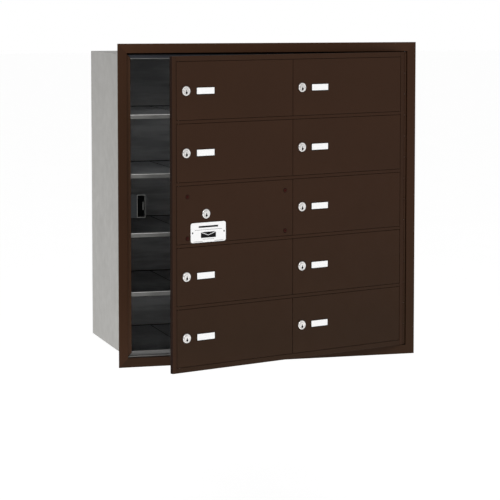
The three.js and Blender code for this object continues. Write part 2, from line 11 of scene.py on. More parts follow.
import bmesh
import bpy
from mathutils import Matrix, Vector


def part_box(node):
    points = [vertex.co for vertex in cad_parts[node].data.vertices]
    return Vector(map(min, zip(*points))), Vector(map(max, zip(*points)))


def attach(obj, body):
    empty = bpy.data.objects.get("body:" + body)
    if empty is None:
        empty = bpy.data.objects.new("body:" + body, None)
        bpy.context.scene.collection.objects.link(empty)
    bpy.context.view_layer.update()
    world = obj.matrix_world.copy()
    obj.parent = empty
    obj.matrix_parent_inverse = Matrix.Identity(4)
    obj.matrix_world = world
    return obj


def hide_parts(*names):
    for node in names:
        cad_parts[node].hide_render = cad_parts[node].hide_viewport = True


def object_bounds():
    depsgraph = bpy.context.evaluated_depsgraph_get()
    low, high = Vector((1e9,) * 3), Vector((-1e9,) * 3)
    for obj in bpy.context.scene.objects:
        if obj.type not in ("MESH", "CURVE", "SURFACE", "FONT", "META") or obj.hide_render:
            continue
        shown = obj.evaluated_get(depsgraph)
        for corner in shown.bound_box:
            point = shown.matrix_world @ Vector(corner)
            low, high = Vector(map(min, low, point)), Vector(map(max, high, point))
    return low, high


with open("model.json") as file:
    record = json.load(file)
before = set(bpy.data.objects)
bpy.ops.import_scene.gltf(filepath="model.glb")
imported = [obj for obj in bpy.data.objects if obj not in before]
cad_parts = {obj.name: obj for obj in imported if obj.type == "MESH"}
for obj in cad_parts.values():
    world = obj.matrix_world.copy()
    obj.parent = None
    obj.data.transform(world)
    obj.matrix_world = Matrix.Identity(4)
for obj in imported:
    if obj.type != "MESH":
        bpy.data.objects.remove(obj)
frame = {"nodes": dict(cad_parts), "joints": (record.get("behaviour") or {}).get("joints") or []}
cad_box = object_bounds()

MM = 0.001

# ---- Where things are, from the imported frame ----

JOINTS = {joint["name"]: joint for joint in frame["joints"]}
HINGE_POINT = Vector(JOINTS["master_door_hinge"]["pos_m"])
DOOR_ANGLE = math.radians(-JOINTS["master_door_hinge"]["range_deg"][0])
DOOR_PLACE = (
    Matrix.Translation(HINGE_POINT)
    @ Matrix.Rotation(DOOR_ANGLE, 4, "Z")
    @ Matrix.Translation(-HINGE_POINT)
)
UNTURN_DOOR = DOOR_PLACE.inverted()
IN_PLACE = Matrix.Identity(4)
TENANT_BOXES = range(1, 10)


def shut_box(node):
    """Lowest and highest corner of a door node, in the shut door's coordinates."""
    points = [UNTURN_DOOR @ vertex.co for vertex in frame["nodes"][node].data.vertices]
    low = Vector(min(point[axis] for point in points) for axis in range(3))
    high = Vector(max(point[axis] for point in points) for axis in range(3))
    return low, high


def shut_point(joint):
    """A joint's point in the shut door's coordinates."""
    return UNTURN_DOOR @ Vector(JOINTS[joint]["pos_m"])


DOOR_FRONT = shut_box("door_left_stile")[0].y

# ---- Mesh helpers ----

# Each builds in (a, b, c), with the outline in (a, b) and the depth along c.
# ON_DOOR takes the depth from the front of the shut door.
ALONG_X = Matrix(((0, 0, 1, 0), (1, 0, 0, 0), (0, 1, 0, 0), (0, 0, 0, 1)))
ALONG_Y = Matrix(((1, 0, 0, 0), (0, 0, 1, 0), (0, 1, 0, 0), (0, 0, 0, 1)))
ALONG_Z = Matrix.Identity(4)
ON_DOOR = Matrix.Translation((0, DOOR_FRONT, 0)) @ ALONG_Y
SMOOTH_ANGLE = math.radians(40)
CORNER = 0.8 * MM
SMALL_EDGE = 0.3 * MM
FINE_EDGE = 0.2 * MM
FAINT_EDGE = 0.1 * MM
OVERLAP = 0.1 * MM
ON_FACE = 0.05 * MM


def rectangle(a0, a1, b0, b1):
    return [(a0, b0), (a1, b0), (a1, b1), (a0, b1)]


def centred(a, b, half_a, half_b):
    return rectangle(a - half_a, a + half_a, b - half_b, b + half_b)


def circle(a, b, radius, sides=48):
    steps = [2 * math.pi * index / sides for index in range(sides)]
    return [(a + radius * math.cos(step), b + radius * math.sin(step)) for step in steps]


def rounded(points, radius, steps=4):
    """The outline with each corner replaced by a short curve."""
    result = []
    count = len(points)
    for index, point in enumerate(points):
        corner = Vector(point)
        before = Vector(points[index - 1]) - corner
        after = Vector(points[(index + 1) % count]) - corner
        reach = min(radius, 0.45 * before.length, 0.45 * after.length)
        start = corner + before.normalized() * reach
        end = corner + after.normalized() * reach
        for step in range(steps + 1):
            t = step / steps
            bend = start * (1 - t) ** 2 + corner * 2 * t * (1 - t) + end * t**2
            result.append((bend.x, bend.y))
    return result


def signed_area(points):
    sides = zip(points, points[1:] + points[:1])
    return sum(a * next_b - next_a * b for (a, b), (next_a, next_b) in sides) / 2


def inset(points, distance):
    """Moves a counter-clockwise outline inwards, and a clockwise one outwards."""
    result = []
    count = len(points)
    for index, point in enumerate(points):
        here = Vector(point)
        before = (here - Vector(points[index - 1])).normalized()
        after = (Vector(points[(index + 1) % count]) - here).normalized()
        left = Vector((-before.y - after.y, before.x + after.x))
        if left.length < 1e-9:
            left = Vector((-before.y, before.x))
        left.normalize()
        stretch = max(0.4, left.dot(Vector((-before.y, before.x))))
        result.append(tuple(here + left * distance / stretch))
    return result


def rim_rings(low, high, edge, steps):
    """(inset, depth) of each ring of a rounded rim, from one cap to the other."""
    quarter = []
    for step in range(steps + 1):
        angle = step / steps * math.pi / 2
        quarter.append((edge * (1 - math.sin(angle)), edge * (1 - math.cos(angle))))
    front = [(shift, low + depth) for shift, depth in quarter]
    back = [(shift, high - depth) for shift, depth in reversed(quarter)]
    return front + back


def add_prism(bm, outline, low, high, edge=0.0, holes=(), steps=2, place=ALONG_Z):
    """Adds a solid with rounded rims: an outline, with holes, from low to high."""
    outer = outline if signed_area(outline) > 0 else outline[::-1]
    loops = [outer] + [hole if signed_area(hole) < 0 else hole[::-1] for hole in holes]
    rings = rim_rings(low, high, edge, steps) if edge else [(0, low), (0, high)]
    first, last = [], []
    made = []
    for loop in loops:
        previous = None
        for shift, depth in rings:
            points = inset(loop, shift) if shift else loop
            ring = [bm.verts.new(place @ Vector((a, b, depth))) for a, b in points]
            if previous:
                made.extend(bridge(bm, previous, ring))
            else:
                first.append(ring)
            previous = ring
        last.append(previous)
    for caps in (first, last):
        made.extend(add_cap(bm, caps))
    return made


def add_on_door(bm, outline, low, high, edge=0.0, holes=(), steps=2):
    """Adds a prism whose depths are taken from the front of the shut door."""
    return add_prism(bm, outline, low, high, edge, holes, steps, ON_DOOR)


def add_cap(bm, rings):
    """Closes an outline, leaving its holes open."""
    if len(rings) == 1:
        return [bm.faces.new(rings[0])]
    edges = []
    for ring in rings:
        for index, vertex in enumerate(ring):
            edges.append(bm.edges.get((vertex, ring[(index + 1) % len(ring)])))
    filled = bmesh.ops.triangle_fill(bm, edges=edges, use_beauty=True)
    return [item for item in filled["geom"] if isinstance(item, bmesh.types.BMFace)]


def add_lathe(bm, profile, centre=(0, 0), sides=48, place=ALONG_Y):
    """Turns (radius, depth) points about an axis. An end on the axis is closed."""
    previous = None
    for radius, depth in profile:
        points = circle(*centre, radius, sides) if radius else [centre]
        ring = [bm.verts.new(place @ Vector((a, b, depth))) for a, b in points]
        if previous:
            bridge(bm, previous, ring)
        previous = ring


def bridge(bm, first, second):
    """Faces between two rings, either of which may be a single point."""
    faces = []
    for index in range(max(len(first), len(second))):
        after = index + 1
        corners = [
            first[index % len(first)],
            first[after % len(first)],
            second[after % len(second)],
            second[index % len(second)],
        ]
        faces.append(bm.faces.new(list(dict.fromkeys(corners))))
    return faces


def even_normals(thing):
    modifier = thing.modifiers.new("even_normals", "WEIGHTED_NORMAL")
    modifier.keep_sharp = True


def add_piece(name, bm, materials, body, place=IN_PLACE, replaces=()):
    """Turns the mesh into a piece that rides on a body and stands for CAD nodes."""
    bmesh.ops.recalc_face_normals(bm, faces=bm.faces)
    mesh = bpy.data.meshes.new(name)
    bm.to_mesh(mesh)
    bm.free()
    for material in materials:
        mesh.materials.append(material)
    mesh.shade_smooth()
    mesh.set_sharp_from_angle(angle=SMOOTH_ANGLE)
    piece = bpy.data.objects.new(name, mesh)
    bpy.context.scene.collection.objects.link(piece)
    piece.matrix_world = place
    even_normals(piece)
    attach(piece, body)
    if replaces:
        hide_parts(*replaces)


def door_piece(name, bm, materials, body="master_door", replaces=()):
    """A piece drawn with the door shut, and turned to where the door stands."""
    add_piece(name, bm, materials, body, DOOR_PLACE, replaces)


def finish_node(node, material, edge):
    """Gives a CAD node softened edges and a finish."""
    thing = frame["nodes"][node]
    thing.data.materials.clear()
    thing.data.materials.append(material)
    weld = thing.modifiers.new("weld", "WELD")
    weld.merge_threshold = 0.01 * MM
    bevel = thing.modifiers.new("soft_edges", "BEVEL")
    bevel.width = edge
    bevel.segments = 3
    bevel.limit_method = "ANGLE"
    bevel.angle_limit = math.radians(25)
    even_normals(thing)


# ---- Materials ----


class Finish:
    """A material being wired up: short calls for the nodes that it uses."""

    def __init__(self, name, roughness, metallic=0.0, specular=0.5):
        self.material = bpy.data.materials.new(name)
        self.material.use_nodes = True
        self.tree = self.material.node_tree
        self.shader = self.tree.nodes["Principled BSDF"]
        self.wire(self.shader, Roughness=roughness, Metallic=metallic, Specular_IOR_Level=specular)
        self.coordinates = self.tree.nodes.new("ShaderNodeTexCoord").outputs["Object"]

    def node(self, kind, **inputs):
        return self.wire(self.tree.nodes.new(kind), **inputs)

    def wire(self, node, **inputs):
        """Sets or links inputs by name, with an underscore for each space."""
        for name, value in inputs.items():
            socket = node.inputs[name.replace("_", " ")]
            if isinstance(value, bpy.types.NodeSocket):
                self.tree.links.new(value, socket)
            else:
                socket.default_value = value
        return node

    def noise(self, scale, detail=2.0, stretch=(1, 1, 1)):
        mapping = self.node("ShaderNodeMapping", Vector=self.coordinates, Scale=stretch)
        vector = mapping.outputs["Vector"]
        node = self.node("ShaderNodeTexNoise", Vector=vector, Scale=scale, Detail=detail)
        return node.outputs["Fac"]

    def faded(self, tint, fade):
        """A fade is (other tint, axis, start, end): the tint changes from start to end."""
        if not fade:
            return tint
        other, axis, start, end = fade
        split = self.node("ShaderNodeSeparateXYZ", Vector=self.coordinates)
        return self.blend(self.spread(split.outputs[axis], start, end, 0, 1), tint, other)

    def spread(self, value, low, high, to_low, to_high):
        """Maps low..high of a value to to_low..to_high."""
        node = self.node("ShaderNodeMapRange", Value=value, From_Min=low, From_Max=high,
                         To_Min=to_low, To_Max=to_high)
        return node.outputs["Result"]

    def blend(self, factor, first, second):
        """A colour between two others."""
        node = self.tree.nodes.new("ShaderNodeMix")
        node.data_type = "RGBA"
        self.wire(node, Factor=factor, A=first, B=second)
        sockets = [out for out in node.outputs if out.type == "RGBA"]
        return sockets[0]

    def colour(self, value):
        self.wire(self.shader, Base_Color=value)

    def roughness(self, value):
        self.wire(self.shader, Roughness=value)

    def bump(self, *layers):
        """Each layer is (height, strength, distance)."""
        normal = None
        for height, strength, distance in layers:
            node = self.node("ShaderNodeBump", Height=height, Strength=strength, Distance=distance)
            if normal:
                self.wire(node, Normal=normal)
            normal = node.outputs["Normal"]
        self.wire(self.shader, Normal=normal)


def grey(value, warmth=0.0):
    return (value * (1 + warmth), value, value * (1 - warmth), 1)


def scaled(colour, factor):
    return tuple(part * factor for part in colour[:3]) + (1,)


BRONZE = (0.0355, 0.0152, 0.0072, 1)
LOW_SHADED_BRONZE = (0.0298, 0.0142, 0.0066, 1)
STILE_SHADED_BRONZE = scaled(BRONZE, 0.86)
TOP_LIT_BRONZE = scaled(BRONZE, 1.5)
LEFT_LIT_BRONZE = scaled(BRONZE, 1.22)
STOP_LIT_BRONZE = (0.062, 0.029, 0.015, 1)
GAP_SHADE_BRONZE = (0.004, 0.0022, 0.0015, 1)
SHADED_BRONZE = (0.015, 0.0065, 0.004, 1)
SCREW_BRONZE = (0.05, 0.008, 0.005, 1)


def powder_coat(name, tint, specular=0.09, fade=None):
    """Baked paint: fine orange peel, faint mottling, lighter on sharp edges, partly as thin coating
    and partly as a painted highlight.
    """
    finish = Finish(name, roughness=0.46, specular=specular)
    clouds = finish.noise(7, detail=3)
    flecks = finish.noise(1400, detail=1)
    base = finish.faded(tint, fade)
    mottled = finish.blend(finish.spread(clouds, 0.35, 0.65, 0, 0.06), base, scaled(tint, 0.3))
    speckled = finish.blend(
        finish.spread(flecks, 0.6, 0.75, 0, 0.35), mottled, scaled(tint, 1.7)
    )
    # Sharp edges are lightened: partly thin coating, partly a painted highlight.
    edges = finish.node("ShaderNodeNewGeometry").outputs["Pointiness"]
    edge_wear_and_highlight = finish.spread(edges, 0.53, 0.65, 0, 0.25)
    finish.colour(finish.blend(edge_wear_and_highlight, speckled, scaled(tint, 1.8)))
    smudges = finish.noise(28, detail=4)
    finish.roughness(finish.spread(smudges, 0.3, 0.7, 0.4, 0.54))
    peel = finish.noise(650, detail=1)
    finish.bump((peel, 0.22, 0.15 * MM), (flecks, 0.08, 0.05 * MM))
    return finish.material


def mill_aluminium(name, tint, streak, roughness, metallic, contrast=0.05, fade=None):
    """Uncoated sheet: rolling streaks one way, soft clouds and a few smudges."""
    finish = Finish(name, roughness=roughness, metallic=metallic)
    streaks = finish.noise(1, detail=4, stretch=streak)
    clouds = finish.noise(9, detail=3)
    smudges = finish.noise(40, detail=5)
    base = finish.faded(tint, fade)
    clouded = finish.blend(finish.spread(clouds, 0.3, 0.7, 0, 0.08), base, grey(0.03))
    finish.colour(
        finish.blend(finish.spread(streaks, 0.4, 0.62, 0, contrast), clouded, grey(0.03))
    )
    finish.roughness(
        finish.spread(smudges, 0.35, 0.65, roughness - 0.05, roughness + 0.08)
    )
    finish.bump((streaks, 0.12, 0.06 * MM), (finish.noise(900, detail=1), 0.06, 0.04 * MM))
    return finish.material


def shelf_shade_finish(name, front, back):
    """A shelf's sheet, darker at its front edge than at the back: painted shade."""
    fade = (grey(back, -0.02), "Y", 0.05, 0.36)
    return mill_aluminium(name, grey(front, -0.02), (8, 300, 300), 0.34, 0.5, fade=fade)


def satin_nickel():
    """Plated lock faces: turned rings hardly show, with small handling marks."""
    finish = Finish("satin_nickel", roughness=0.3, metallic=1.0)
    marks = finish.noise(350, detail=3)
    finish.colour(
        finish.blend(finish.spread(marks, 0.4, 0.7, 0, 1), grey(0.86, 0.02), grey(0.76, 0.02))
    )
    finish.roughness(finish.spread(finish.noise(120, detail=4), 0.35, 0.65, 0.24, 0.38))
    finish.bump((marks, 0.1, 0.03 * MM))
    return finish.material


def zinc_plate():
    """Bluish passivated steel with a faint spangle."""
    finish = Finish("zinc_plate", roughness=0.38, metallic=0.9)
    cells = finish.node("ShaderNodeTexVoronoi", Vector=finish.coordinates, Scale=260)
    spangle = finish.spread(cells.outputs["Distance"], 0, 0.8, 0, 1)
    finish.colour(finish.blend(spangle, (0.31, 0.34, 0.37, 1), (0.43, 0.45, 0.46, 1)))
    finish.roughness(finish.spread(finish.noise(60, detail=3), 0.35, 0.65, 0.32, 0.46))
    finish.bump((finish.noise(500, detail=2), 0.1, 0.04 * MM))
    return finish.material


def white_card():
    """Matt paper and plastic labels with a faint fibre."""
    finish = Finish("white_card", roughness=0.5, specular=0.3)
    fibres = finish.noise(1, detail=3, stretch=(300, 300, 1500))
    finish.colour(finish.blend(fibres, grey(0.95), grey(0.99)))
    finish.roughness(finish.spread(finish.noise(80), 0.3, 0.7, 0.42, 0.55))
    finish.bump((fibres, 0.05, 0.03 * MM))
    return finish.material


def white_enamel():
    """Painted metal plate, smoother than the cards."""
    finish = Finish("white_enamel", roughness=0.32, specular=0.4)
    clouds = finish.noise(45, detail=3)
    finish.colour(finish.blend(clouds, grey(0.93, 0.003), grey(0.98, 0.003)))
    finish.roughness(finish.spread(finish.noise(150, detail=2), 0.3, 0.7, 0.27, 0.4))
    finish.bump((finish.noise(420, detail=1), 0.08, 0.05 * MM))
    return finish.material


def dark_ink():
    """Grey-black printing and stamped marks; also the painted shade round the name cards."""
    finish = Finish("dark_ink", roughness=0.6, specular=0.04)
    finish.colour(finish.blend(finish.noise(700, detail=2), grey(0.004), grey(0.014)))
    finish.bump((finish.noise(1200, detail=1), 0.1, 0.03 * MM))
    return finish.material


def near_black_shade_fill():
    """Near-black fill with open cells, put in gaps and round the strike's slot as painted shade."""
    finish = Finish("near_black_shade_fill", roughness=0.85, specular=0.02)
    cells = finish.node("ShaderNodeTexVoronoi", Vector=finish.coordinates, Scale=900)
    pores = cells.outputs["Distance"]
    finish.colour(finish.blend(pores, grey(0.001), grey(0.004)))
    finish.bump((pores, 0.4, 0.2 * MM))
    return finish.material


def dark_hollow():
    """The unlit inside of keyways and slots."""
    finish = Finish("dark_hollow", roughness=0.8, specular=0.02)
    finish.colour(finish.blend(finish.noise(500, detail=2), grey(0.0008), grey(0.003)))
    finish.bump((finish.noise(800, detail=1), 0.2, 0.05 * MM))
    return finish.material


LIP_STREAK = (8, 500, 700)
SIDE_TINT = (0.485, 0.476, 0.455, 1)
WALL_TINT = (0.97, 0.98, 0.98, 1)
UPPER_WALL_SHADE_TINT = (0.42, 0.43, 0.44, 1)
INNER_TINT = (0.7, 0.71, 0.72, 1)
LIP_TINT = (0.29, 0.29, 0.28, 1)
FLOOR_LIP_SHADE_TINT = (0.17, 0.17, 0.165, 1)
FOLD_HIGHLIGHT_TINT = (0.95, 0.95, 0.93, 1)
SHADED_STEEL_TINT = (0.03, 0.034, 0.037, 1)
SHADED_TINT = (0.045, 0.047, 0.058, 1)
# Painted shade: the main paint grows darker towards the bottom, from z 0.02 down to z -0.3.
paint = powder_coat("bronze_powder_coat", BRONZE, fade=(LOW_SHADED_BRONZE, "Z", 0.02, -0.3))
# Painted shade: the stiles' fronts are a darker copy of the bronze.
stile_shaded_paint = powder_coat("stile_shaded_powder_coat", STILE_SHADED_BRONZE)
# Painted light: the left trim is a lighter copy of the bronze, to make up for the shade of the open
# door.
left_lit_paint = powder_coat("left_lit_powder_coat", LEFT_LIT_BRONZE)
# Painted light: the top trim is a lighter copy of the bronze, fading to the plain bronze from x 0.1
# to x 0.36, to make up for the shade of the open door.
top_lit_paint = powder_coat("top_lit_powder_coat", TOP_LIT_BRONZE, fade=(BRONZE, "X", 0.1, 0.36))
# Painted light: the door stop is a much lighter copy of the bronze, to make up for the shade behind
# the trim's edge.
stop_lit_paint = powder_coat("stop_lit_powder_coat", STOP_LIT_BRONZE)
# Painted shade: a near-black bronze for edges and sides in the gaps between parts, and round the
# panel screws.
gap_shade_paint = powder_coat("gap_shade_powder_coat", GAP_SHADE_BRONZE, specular=0.03)
shaded_paint = powder_coat("shaded_powder_coat", SHADED_BRONZE, specular=0.03)
screw_paint = powder_coat("screw_powder_coat", SCREW_BRONZE)
side_sheet = mill_aluminium("side_sheet", SIDE_TINT, (300, 300, 6), 0.5, 0.55)
# Painted light and shade: the inside of the back wall is near-white, and turns darker upwards from z
# 0.16 to z 0.26.
wall_light_and_shade = mill_aluminium(
    "wall_light_and_shade", WALL_TINT, (9, 9, 70), 0.38, 0.0, contrast=0.3,
    fade=(UPPER_WALL_SHADE_TINT, "Z", 0.16, 0.26),
)
inner_sheet = mill_aluminium("inner_sheet", INNER_TINT, (500, 8, 500), 0.3, 0.6)
# Painted shade: the lower shelves are darker copies of the same sheet.
high_shelf_shaded_sheet = shelf_shade_finish("high_shelf_shaded_sheet", 0.42, 0.97)
middle_shelf_shaded_sheet = shelf_shade_finish("middle_shelf_shaded_sheet", 0.15, 0.57)
low_shelf_shaded_sheet = shelf_shade_finish("low_shelf_shaded_sheet", 0.045, 0.6)
SHELF_SHEETS = (
    high_shelf_shaded_sheet, high_shelf_shaded_sheet, middle_shelf_shaded_sheet, low_shelf_shaded_sheet, low_shelf_shaded_sheet,
)
lip_sheet = mill_aluminium("lip_sheet", LIP_TINT, LIP_STREAK, 0.42, 0.6)
floor_lip_sheet = mill_aluminium("floor_lip_sheet", FLOOR_LIP_SHADE_TINT, LIP_STREAK, 0.42, 0.6)
fold_highlight_sheet = mill_aluminium("fold_highlight_sheet", FOLD_HIGHLIGHT_TINT, LIP_STREAK, 0.36, 0.6)
shaded_steel = mill_aluminium("shaded_steel", SHADED_STEEL_TINT, (300, 300, 8), 0.5, 0.3)
shaded_sheet = mill_aluminium("shaded_sheet", SHADED_TINT, LIP_STREAK, 0.5, 0.5)
nickel = satin_nickel()
zinc = zinc_plate()
card = white_card()
enamel = white_enamel()
ink = dark_ink()
hollow = dark_hollow()
shading_fill = near_black_shade_fill()

# ---- Housing ----

SHEET_EDGE = 0.35 * MM


def side_panel(node):
    """Outside and inside faces of a side panel have their own finishes."""
    low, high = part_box(node)
    bm = bmesh.new()
    outline = rectangle(low.y, high.y, low.z, high.z)
    add_prism(bm, outline, low.x, high.x, SHEET_EDGE, place=ALONG_X)
    inside = 1 if low.x < 0 else -1
    bm.normal_update()
    bmesh.ops.recalc_face_normals(bm, faces=bm.faces)
    for face in bm.faces:
        face.material_index = 1 if face.normal.x * inside > 0.9 else 0
    add_piece(f"{node}_sheet", bm, [side_sheet, inner_sheet], "housing",
              replaces=[node])


LIP_HEIGHT = 10 * MM
FOLD_RADIUS = 1.6 * MM
FOLD_END = 6 * MM


def lip_outline(front, top, thick):
    """A sheet's front edge in (y, z): folded down, with a rounded fold."""
    outer = arc_corner((front, top), FOLD_RADIUS)
    inner = arc_corner((front + thick, top - thick), FOLD_RADIUS - thick)
    return (
        [(front + FOLD_END, top)]
        + outer
        + [(front, top - LIP_HEIGHT), (front + thick, top - LIP_HEIGHT)]
        + inner[::-1]
        + [(front + FOLD_END, top - thick)]
    )


def arc_corner(corner, radius, steps=5):
    """A quarter turn from the top of a corner to its front."""
    y, z = corner
    points = []
    for step in range(steps + 1):
        angle = math.pi / 2 * (1 + step / steps)
        across, up = radius * math.cos(angle), radius * math.sin(angle)
        points.append((y + radius + across, z - radius + up))
    return points


def lipped_sheet(name, node, thick, finishes, notch=None):
    """A shelf or the top panel, with its front edge folded down into a lip.

    The finishes are those of the sheet, the lip's face and its rounded fold.
    """
    low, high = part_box(node)
    bm = bmesh.new()
    lip = lip_outline(low.y, high.z, thick)
    add_prism(bm, lip, low.x, high.x, 0, place=ALONG_X)
    front = low.y + FOLD_END
    if notch:
        half, start = notch
        outline = [
            (low.x, front), (high.x, front), (high.x, high.y), (half, high.y),
            (half, start), (-half, start), (-half, high.y), (low.x, high.y),
        ]
    else:
        outline = rectangle(low.x, high.x, front, high.y)
    add_prism(bm, outline, high.z - thick, high.z, 0)
    for face in bm.faces:
        middle = face.calc_center_median()
        if middle.y < low.y + thick:
            face.material_index = 2 if middle.z > high.z - FOLD_RADIUS else 1
    add_piece(name, bm, finishes, "housing", replaces=[node])


SHELF_THICK = 1.2 * MM
TOP_THICK = 1.5 * MM
NOTCH_HALF = 0.9 * MM
SHADE_LINE_X = -198 * MM
SHADE_LINE_WIDTH = 2 * MM
BACK_JOINT = 1.6 * MM
SHADE_LINE_RISE = 0.3 * MM
HEM_HEIGHT = 1.1 * MM
HEM_PROUD = 0.3 * MM
HEM_DROP = 0.4 * MM
HEM_ROUND = 0.5 * MM
FLANGE_HEIGHT = 1.8 * MM
FLANGE_SUNK = 0.2 * MM
TOP_SHADE_START = 1 * MM
TOP_SHADE_END = 14 * MM


def shelves():
    partition_low, partition_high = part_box("center_partition")
    notch_start = (partition_low.y + partition_high.y) / 2
    for number, sheet in enumerate(SHELF_SHEETS, start=1):
        notch = (NOTCH_HALF, notch_start) if number < len(SHELF_SHEETS) else None
        # The shelves' rounded folds get a near-white sheet: painted highlight.
        finishes = (sheet, lip_sheet, fold_highlight_sheet)
        # The floor's lip is a darker copy of the lip sheet: painted shade.
        if number == len(SHELF_SHEETS):
            finishes = (sheet, floor_lip_sheet, lip_sheet)
        lipped_sheet(f"shelf_sheet_{number}", f"shelf_{number}", SHELF_THICK, finishes, notch)
        low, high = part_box(f"shelf_{number}")
        # Dark strips on each shelf, one running back from near the lip and one along the joint with
        # the back panel: painted shade lines.
        bm = bmesh.new()
        outline = rectangle(SHADE_LINE_X - SHADE_LINE_WIDTH / 2, SHADE_LINE_X + SHADE_LINE_WIDTH / 2,
                            low.y + 2 * FOLD_END, high.y)
        add_prism(bm, outline, high.z, high.z + SHADE_LINE_RISE, FINE_EDGE)
        back = rectangle(low.x, high.x, high.y - BACK_JOINT, high.y)
        add_prism(bm, back, high.z, high.z + BACK_JOINT)
        add_piece(f"shelf_shade_lines_{number}", bm, [hollow], "housing")


def strip(name, node, outline, radius, material):
    """A rounded strip along the front of a sheet, as long as the sheet is wide."""
    low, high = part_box(node)
    bm = bmesh.new()
    add_prism(bm, rounded(outline, radius), low.x, high.x, place=ALONG_X)
    add_piece(name, bm, [material], "housing")


def top_hem():
    """The bright hem along the bottom of the top panel's lip."""
    low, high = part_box("top_panel")
    bottom = high.z - LIP_HEIGHT
    outline = rectangle(low.y - HEM_PROUD, low.y + TOP_THICK, bottom - HEM_DROP, bottom + HEM_HEIGHT)
    strip("top_panel_hem", "top_panel", outline, HEM_ROUND, lip_sheet)


def bottom_flange():
    """The upturned front edge of the bottom panel, below the floor's lip."""
    low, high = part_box("bottom_panel")
    outline = rectangle(low.y, low.y + TOP_THICK, high.z - FLANGE_SUNK, high.z + FLANGE_HEIGHT)
    strip("bottom_panel_flange", "bottom_panel", outline, HEM_ROUND, lip_sheet)


def back_panel():
    """The back panel, streaked on the side that faces the compartments, which carries painted light
    and shade.
    """
    low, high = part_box("back_panel")
    bm = bmesh.new()
    outline = rectangle(low.x, high.x, low.z, high.z)
    add_prism(bm, outline, low.y, high.y, SHEET_EDGE, place=ALONG_Y)
    for face in bm.faces:
        face.material_index = 1 if face.calc_center_median().y < low.y + 0.1 * MM else 0
    add_piece("back_panel_sheet", bm, [side_sheet, wall_light_and_shade], "housing",
              replaces=["back_panel"])


def top_shade_strip():
    """A black strip that fills the gap between the top panel and the trim's leg with painted shade.
    """
    low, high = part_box("top_panel")
    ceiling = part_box("trim_top")[1].z - TRIM_FACE
    outline = rectangle(low.y + TOP_SHADE_START, low.y + TOP_SHADE_END, high.z, ceiling)
    strip("top_gap_shade", "top_panel", outline, CORNER, shading_fill)


def housing():
    side_panel("left_side_panel")
    side_panel("right_side_panel")
    finishes = (side_sheet, shaded_sheet, shaded_sheet)
    lipped_sheet("top_panel_sheet", "top_panel", TOP_THICK, finishes)
    top_hem()
    top_shade_strip()
    shelves()
    finish_node("bottom_panel", side_sheet, SHEET_EDGE)
    bottom_flange()
    back_panel()
    finish_node("center_partition", inner_sheet, FINE_EDGE)


# ---- Strike bracket ----

SLOT_LEFT = -319 * MM
SLOT_RIGHT = -305 * MM
SLOT_MARGIN = 4 * MM
FACE_RIGHT = -301.5 * MM
FACE_LIFT = 4.5 * MM
FACE_RISE = 1.5 * MM
BORDER_LINE = 1.3 * MM
BORDER_SIDE = 3 * MM
BORDER_MARGIN = 0.5 * MM
BORDER_PROUD = 0.3 * MM
SHADE_RING_PROUD = 0.2 * MM
STRIKE_THICK = 1.6 * MM
STRIKE_CORNER = 1 * MM
LINER_OVERLAP = 1 * MM
LINER_MARGIN = 2 * MM
# The keeper, in from the slot's right edge and from the face's bottom and top.
KEEPER_LEFT = 3 * MM
KEEPER_RIGHT = 0.6 * MM
KEEPER_BOTTOM = 18 * MM
KEEPER_TOP = 17.5 * MM


def strike():
    """A folded bracket with an upright slot and the keeper behind it."""
    low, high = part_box("latch_strike")
    low.z += FACE_LIFT
    high.z += FACE_RISE
    high.x = FACE_RIGHT
    thick = STRIKE_THICK
    bm = bmesh.new()
    slot = rectangle(SLOT_LEFT, SLOT_RIGHT, low.z + SLOT_MARGIN, high.z - SLOT_MARGIN)
    face = rounded(rectangle(low.x, high.x, low.z, high.z), STRIKE_CORNER)
    add_prism(bm, face, low.y, low.y + thick, SMALL_EDGE, holes=[rounded(slot, CORNER)],
              place=ALONG_Y)
    web = rectangle(low.y + thick, high.y, low.z, high.z)
    add_prism(bm, web, low.x, low.x + thick, SMALL_EDGE, place=ALONG_X)
    # The bracket is drawn near-black for the shade inside the housing: painted shade.
    add_piece("strike_bracket", bm, [shaded_steel], "housing",
              replaces=["latch_strike"])

    bm = bmesh.new()
    back = rectangle(SLOT_LEFT - LINER_OVERLAP, SLOT_RIGHT + LINER_OVERLAP,
                     low.z + LINER_MARGIN, high.z - LINER_MARGIN)
    add_prism(bm, back, low.y + 2 * thick, low.y + 2.6 * thick, FINE_EDGE, place=ALONG_Y)
    add_piece("strike_liner", bm, [hollow], "housing")

    strike_border(low, high, slot)

    bm = bmesh.new()
    bar = rectangle(SLOT_RIGHT - KEEPER_LEFT, SLOT_RIGHT - KEEPER_RIGHT,
                    low.z + KEEPER_BOTTOM, high.z - KEEPER_TOP)
    add_prism(bm, bar, low.y + 0.4 * thick, low.y + 2 * thick, SMALL_EDGE, place=ALONG_Y)
    add_piece("strike_keeper", bm, [floor_lip_sheet], "housing")


def strike_border(low, high, slot):
    """A bright line round the slot, with a black ring of painted shade inside it."""
    outer = rectangle(SLOT_LEFT - BORDER_SIDE, high.x - SMALL_EDGE,
                      low.z + BORDER_MARGIN, high.z - BORDER_MARGIN)
    inner = inset(outer, BORDER_LINE)
    bm = bmesh.new()
    add_prism(bm, outer, low.y - BORDER_PROUD, low.y, holes=[inner], place=ALONG_Y)
    add_piece("strike_border", bm, [lip_sheet], "housing")
    bm = bmesh.new()
    add_prism(bm, inner, low.y - SHADE_RING_PROUD, low.y, holes=[slot], place=ALONG_Y)
    add_piece("strike_shade_ring", bm, [shading_fill], "housing")


# ---- Trim and door frame ----


TRIM_FACE = 22 * MM
TRIM_THICK = 2.5 * MM
TRIM_LEG = 30 * MM
TRIM_CHAMFER = 0.9 * MM
STOP_WIDTH = 11 * MM
STOP_FRONT = 11.2 * MM
STOP_THICK = 1.5 * MM
TRIM_EDGE = 0.45 * MM


